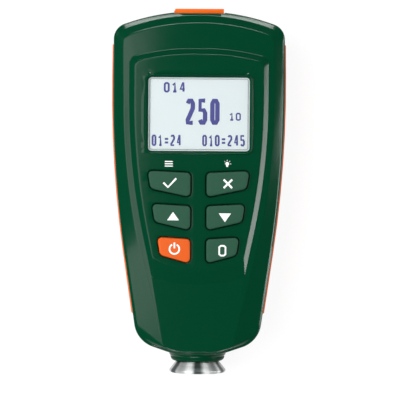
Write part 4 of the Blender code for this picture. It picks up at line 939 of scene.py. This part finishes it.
# Lines through places (x, y) in a field one wide and two high.
DIGITS = {
    "0": [[(0.0, CHAMFER), (CHAMFER, 0.0), (1 - CHAMFER, 0.0), (1.0, CHAMFER), (1.0, 2 - CHAMFER),
           (1 - CHAMFER, 2.0), (CHAMFER, 2.0), (0.0, 2 - CHAMFER), (0.0, CHAMFER)]],
    "1": [[(0.1, 1.5), (0.6, 2.0), (0.6, 0.0)], [(0.15, 0.0), (1.0, 0.0)]],
    "2": [[(0.0, 2 - CHAMFER), (CHAMFER, 2.0), (1 - CHAMFER, 2.0), (1.0, 2 - CHAMFER), (1.0, 1.3),
           (0.0, 0.25), (0.0, 0.0), (1.0, 0.0)]],
    "4": [[(0.8, 0.0), (0.8, 2.0), (0.6, 2.0), (0.0, 0.6), (1.1, 0.6)]],
    "5": [[(1.0, 2.0), (0.0, 2.0), (0.0, 1.15), (1 - CHAMFER, 1.15), (1.0, 1.15 - CHAMFER), (1.0, CHAMFER),
           (1 - CHAMFER, 0.0), (CHAMFER, 0.0), (0.0, CHAMFER)]],
    "=": [[(-0.1, 0.55), (1.1, 0.55)], [(-0.1, 1.3), (1.1, 1.3)]],
}


def strokes(name, lines, pen, z, material, body):
    """Lines of points in metres, drawn as flat marks of one pen width at a height."""
    curve = bpy.data.curves.new(name, "CURVE")
    curve.dimensions = "3D"
    curve.bevel_depth = pen / 2
    curve.bevel_resolution = 3
    curve.use_fill_caps = True
    for line in lines:
        spline = curve.splines.new("POLY")
        loop = (Vector(line[0]) - Vector(line[-1])).length < 1e-6
        kept = line[:-1] if loop else line
        spline.points.add(len(kept) - 1)
        for place, point in zip(spline.points, kept):
            place.co = (*point, 0.0, 1.0)
        spline.use_cyclic_u = loop
    drawn = bpy.data.objects.new(name, curve)
    bpy.context.scene.collection.objects.link(drawn)
    bpy.context.view_layer.update()
    mesh = bpy.data.meshes.new_from_object(drawn.evaluated_get(bpy.context.evaluated_depsgraph_get()))
    bpy.data.objects.remove(drawn)
    bm = bmesh.new()
    bm.from_mesh(mesh)
    bmesh.ops.remove_doubles(bm, verts=bm.verts, dist=MERGE / 10)
    bmesh.ops.scale(bm, vec=(1.0, 1.0, 2 * STROKE_HEIGHT / pen), verts=bm.verts)
    bmesh.ops.translate(bm, vec=(0.0, 0.0, z), verts=bm.verts)
    bmesh.ops.recalc_face_normals(bm, faces=bm.faces)
    finish(bm, name, material, body)


PHOTO_SCALE = 0.3112 * MM
PHOTO_CENTRE_X = 197.9
PHOTO_ZERO_Y = 190.75
PHOTO_LEAN = 0.006
CHARACTER_SHARE = 0.78    # of the pitch, the rest is the space between two characters
GLASS_DROP = 0.65 * MM
GLASS_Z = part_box("display_lens")[1][2] - GLASS_DROP
INK_Z = GLASS_Z + STROKE_HEIGHT


def photo_place(x, y):
    """A point of the photograph, in its pixels, as a place on the gauge."""
    up = PHOTO_ZERO_Y - y
    return Vector(((x - PHOTO_CENTRE_X - PHOTO_LEAN * up) * PHOTO_SCALE, up * PHOTO_SCALE))


def characters(name, text, left, right, top, bottom, pen):
    """Writes digits between two places of the photograph on the display."""
    low, high = photo_place(left, bottom), photo_place(right, top)
    pitch = (high.x - low.x) / (len(text) - 1 + CHARACTER_SHARE)
    wide, tall = pitch * CHARACTER_SHARE - pen, high.y - low.y - pen
    lines = []
    for index, sign in enumerate(text):
        for line in DIGITS[sign]:
            lines.append([(low.x + pen / 2 + index * pitch + px * wide, low.y + pen / 2 + py / 2 * tall)
                          for px, py in line])
    strokes(name, lines, pen, INK_Z, DISPLAY_INK, "housing")


characters("display_mode", "014", 163.5, 185, 82.5, 93, 0.66 * MM)
characters("display_reading", "250", 185, 219, 98.5, 125, 1.4 * MM)
characters("display_scale", "10", 228, 240, 112.5, 120.5, 0.5 * MM)
characters("display_count", "01=24", 151.5, 181, 134.5, 146, 0.62 * MM)
characters("display_mean", "010=245", 201.5, 244, 134.5, 146, 0.62 * MM)
print("display characters drawn")

# %% [markdown]
# The key symbols sit on the key tops and ride with the keys. The two over the first row are printed on
# the case itself.

# %% Key symbols
PRINT_Z = KEY_TOP_Z - MARK_ROOM / 2
CASE_MARK_X, CASE_MARK_LIFT = 9.0 * MM, 0.01 * MM
CASE_PRINT_Z = crown_z(CASE_MARK_X, PLATEAU_Z, FIELD_HALF) + CASE_MARK_LIFT
MARK_SINK, MARK_THICKNESS = 0.015 * MM, 0.035 * MM


def arc_points(centre, radius, start, end, steps=28):
    return [tuple(centre + radius * Vector((math.cos(a), math.sin(a))))
            for a in (math.radians(start + (end - start) * k / steps) for k in range(steps + 1))]


def about(centre, *places):
    """A line through places given in millimetres from a centre."""
    return [tuple(centre + Vector(place) * MM) for place in places]


def symbol(name, lines, body, z, pen):
    strokes(name, lines, pen * MM, z, PRINT_WHITE, body)


def triangle(name, body, *places):
    """A filled mark between three places of the photograph."""
    bm = bmesh.new()
    low = level([photo_place(*place) for place in places], PRINT_Z - MARK_SINK)
    bm.faces.new(first_ring(bm, low)[0])
    side = bmesh.ops.extrude_face_region(bm, geom=bm.faces[:])
    raised = [item for item in side["geom"] if isinstance(item, bmesh.types.BMVert)]
    bmesh.ops.translate(bm, vec=(0.0, 0.0, MARK_THICKNESS), verts=raised)
    bmesh.ops.recalc_face_normals(bm, faces=bm.faces)
    finish(bm, name, PRINT_WHITE, body)


centre = photo_place(174.2, 247.6)
symbol("power_mark", [arc_points(centre, 1.5 * MM, 118, 422), about(centre, (0, 0.2), (0, 2.0))],
       "power_key", PRINT_Z, 0.5)
centre = photo_place(169.5, 182.5)
symbol("set_mark", [about(centre, (-1.9, 0.1), (-0.5, -1.3), (2.0, 1.4))], "set_key", PRINT_Z, 0.6)
centre = photo_place(227.0, 183.0)
symbol("cancel_mark", [about(centre, (-k * 1.3, -1.3), (k * 1.3, 1.3)) for k in (-1, 1)],
       "cancel_key", PRINT_Z, 0.6)
centre = photo_place(221.5, 249.0)
symbol("zero_mark", [about(centre, *(((x - 0.5) * 1.9, (y - 1.0) * 1.5) for x, y in DIGITS["0"][0]))],
       "zero_key", PRINT_Z, 0.55)
triangle("up_mark", "up_key", (167, 219.3), (178.7, 219.3), (172.9, 211))
triangle("down_mark", "down_key", (218, 212.2), (230, 212.2), (224, 220.8))
centre = photo_place(169.5, 163.5)
symbol("menu_mark", [about(centre, (-1.5, k), (1.5, k)) for k in (-0.7, 0.0, 0.7)],
       "housing", CASE_PRINT_Z, 0.32)
centre = photo_place(226.3, 163.3)
bulb = [arc_points(centre, 0.28 * MM, 0, 360, 16), about(centre, (0.0, -0.9), (0.0, -0.25))]
symbol("lamp_mark_bulb", bulb, "housing", CASE_PRINT_Z, 0.62)
rays = []
for angle in (0, 45, 90, 135, 180):
    way = Vector((math.cos(math.radians(angle)), math.sin(math.radians(angle))))
    rays.append(about(centre, way * 0.85, way * 1.25))
symbol("lamp_mark_rays", rays, "housing", CASE_PRINT_Z, 0.16)
print("symbols drawn")

# %% [markdown]
# ## The display
# Behind the window lies the display with its pale glass and the characters, and close over it a clear
# lens. A solid block of glass would keep the lamps' light off the display, so the lens is a pane that
# lets the light through and keeps its gloss.

# %% Lens and panel
def pane(name, extra, low, high, bevel, material, nodes):
    """A flat plate, larger than the window by an extra, with its upper edge broken."""
    points = window_outline(extra * MM)
    rings = [level(points, low), level(points, high - bevel * MM), level(inset(points, bevel * MM), high)]
    finish(solid_of(rings), name, material, "housing", nodes=nodes)


LENS_PANE = 0.5 * MM
lens_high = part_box("display_lens")[1][2]
panel_low, panel_high = (corner[2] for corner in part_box("display_panel"))
pane("lens_pane", -0.1, lens_high - LENS_PANE, lens_high, 0.15, LENS_CLEAR, ("display_lens",))
pane("display_back", 1.2, panel_low, panel_high, 0.1, DISPLAY_WHITE, ("display_panel",))
pane("display_glass", -0.05, panel_high, GLASS_Z, 0.05, DISPLAY_WHITE, ())
print("display ready")

# %% [markdown]
# ## Turned pieces
# The collar, the bead round its root and the steel foot are turned shapes. Each section is drawn once
# and spun round the probe's axis. A V notch runs across the foot's end, so that it also sits on bars.

# %% Collar and foot
SPIN_STEPS = 128
NOTCH_HALF, NOTCH_Y, NOTCH_LENGTH = 2.4 * MM, -57.9 * MM, 40.0 * MM


def spun(name, profile, material, body, nodes):
    """A closed section of (radius, y) in millimetres, spun round the probe's axis."""
    bm = bmesh.new()
    first_ring(bm, [Vector((radius * MM, y * MM, PROBE_Z)) for radius, y in profile])
    bmesh.ops.spin(bm, geom=bm.verts[:] + bm.edges[:], cent=(0.0, 0.0, PROBE_Z), axis=(0.0, 1.0, 0.0),
                   angle=2 * math.pi, steps=SPIN_STEPS, use_merge=True)
    bmesh.ops.remove_doubles(bm, verts=bm.verts, dist=MERGE)
    bmesh.ops.recalc_face_normals(bm, faces=bm.faces)
    return finish(bm, name, material, body, nodes=nodes)


def roll_points(x, y, radius, start, end, steps):
    """Points on an arc of a section, from one angle in degrees to another."""
    turns = [math.radians(start + (end - start) * k / steps) for k in range(steps + 1)]
    return [(x + radius * math.cos(a), y + radius * math.sin(a)) for a in turns]


COLLAR_SECTION = [
    (7.5, -45.0), (7.5, -47.0), (6.7, -47.0), (6.7, -50.2), (8.2, -50.2), (8.2, -51.4), (8.48, -51.5),
    *roll_points(7.1, -51.67, 1.38, 0, -90, 10), (6.9, -53.05), (5.9, -53.05), (5.9, -45.0)]
BEAD_SECTION = [(8.25, -50.3), (8.92, -50.3), (8.9, -50.95), (8.5, -51.5), (8.25, -51.5)]
FOOT_SECTION = [
    (5.6, -32.0), (5.6, -53.3), (6.75, -53.3), (6.9, -53.45), *roll_points(8.25, -56.1, 0.6, 38, -90, 12),
    (2.2, -56.7), (2.2, -54.2), (4.3, -54.2), (4.3, -32.0)]
spun("collar_ring", COLLAR_SECTION, COLLAR_GREEN, "housing", ("probe_collar",))
spun("collar_bead", BEAD_SECTION, CASE_GREEN, "housing", ())
foot = spun("foot_cone", FOOT_SECTION, FOOT_STEEL, "housing", ("probe_sleeve",))
across = Matrix.Translation((0.0, NOTCH_Y, PROBE_Z)) @ Matrix.Rotation(math.radians(90), 4, "Y")
notch = bmesh.new()
bmesh.ops.create_cone(notch, cap_ends=True, segments=4, radius1=NOTCH_HALF, radius2=NOTCH_HALF,
                      depth=NOTCH_LENGTH, matrix=across)
cut(foot, cutter(notch, "foot notch"))
print("turned pieces ready")

# %% [markdown]
# ## Rubber grips and socket cover
# The grips and the socket's cover are already the right shape. A merged copy of each gets slightly
# broken edges, because rubber is never sharp, and the orange finish. The battery cover gets the same
# treatment in green.

# %% Refined copies
def refined(node, material, body, width):
    """A copy of a node with its sharp edges broken."""
    bm = node_mesh(node)
    hard = [edge for edge in bm.edges if len(edge.link_faces) == 2 and edge.calc_face_angle() > SHARP_ANGLE]
    bmesh.ops.bevel(bm, geom=hard, offset=width, offset_type="OFFSET", segments=2, profile=0.5,
                    affect="EDGES", material=-1, clamp_overlap=True)
    finish(bm, f"{node}_soft", material, body, nodes=(node,))


refined("side_grip_left", GRIP_ORANGE, "housing", 0.1 * MM)
refined("side_grip_right", GRIP_ORANGE, "housing", 0.1 * MM)
refined("socket_cover", GRIP_ORANGE, "socket_cover", 0.2 * MM)
refined("battery_cover", CASE_GREEN, "housing", 0.2 * MM)
print("rubber pieces ready")

# %% [markdown]
# ## What lies inside
# The board, cells, springs and screws keep their working shapes. Each one only gets its own finish.

# %% Finishes on the nodes that stay
FINISHES = (
    (STEEL, ("data_socket", "battery_bridge_plate", "battery_plate_negative", "battery_plate_positive",
             "battery_spring_left", "battery_spring_right", "probe_core", "probe_tip", "probe_spring",
             "screw_upper_left", "screw_upper_right", "screw_lower_left", "screw_lower_right",
             "board_screw_left", "board_screw_right", "battery_cover_screw")),
    (BLACK_PLASTIC, ("controller_chip", "buzzer", "probe_plunger", "probe_cap")),
    (DARK_RUBBER, ("contact_strip", "keypad_mat", "probe_lead")),
    (BOARD_GREEN, ("main_board",)),
    (COPPER, ("probe_winding",)),
    (CELL_WRAP, ("battery_left", "battery_right")),
    (WHITE_PLASTIC, ("display_carrier",)),
)
for material, names in FINISHES:
    for name in names:
        node = bpy.data.objects[name]
        node.data.materials.clear()
        node.data.materials.append(material)
print("finished nodes:", sum(len(names) for _, names in FINISHES))
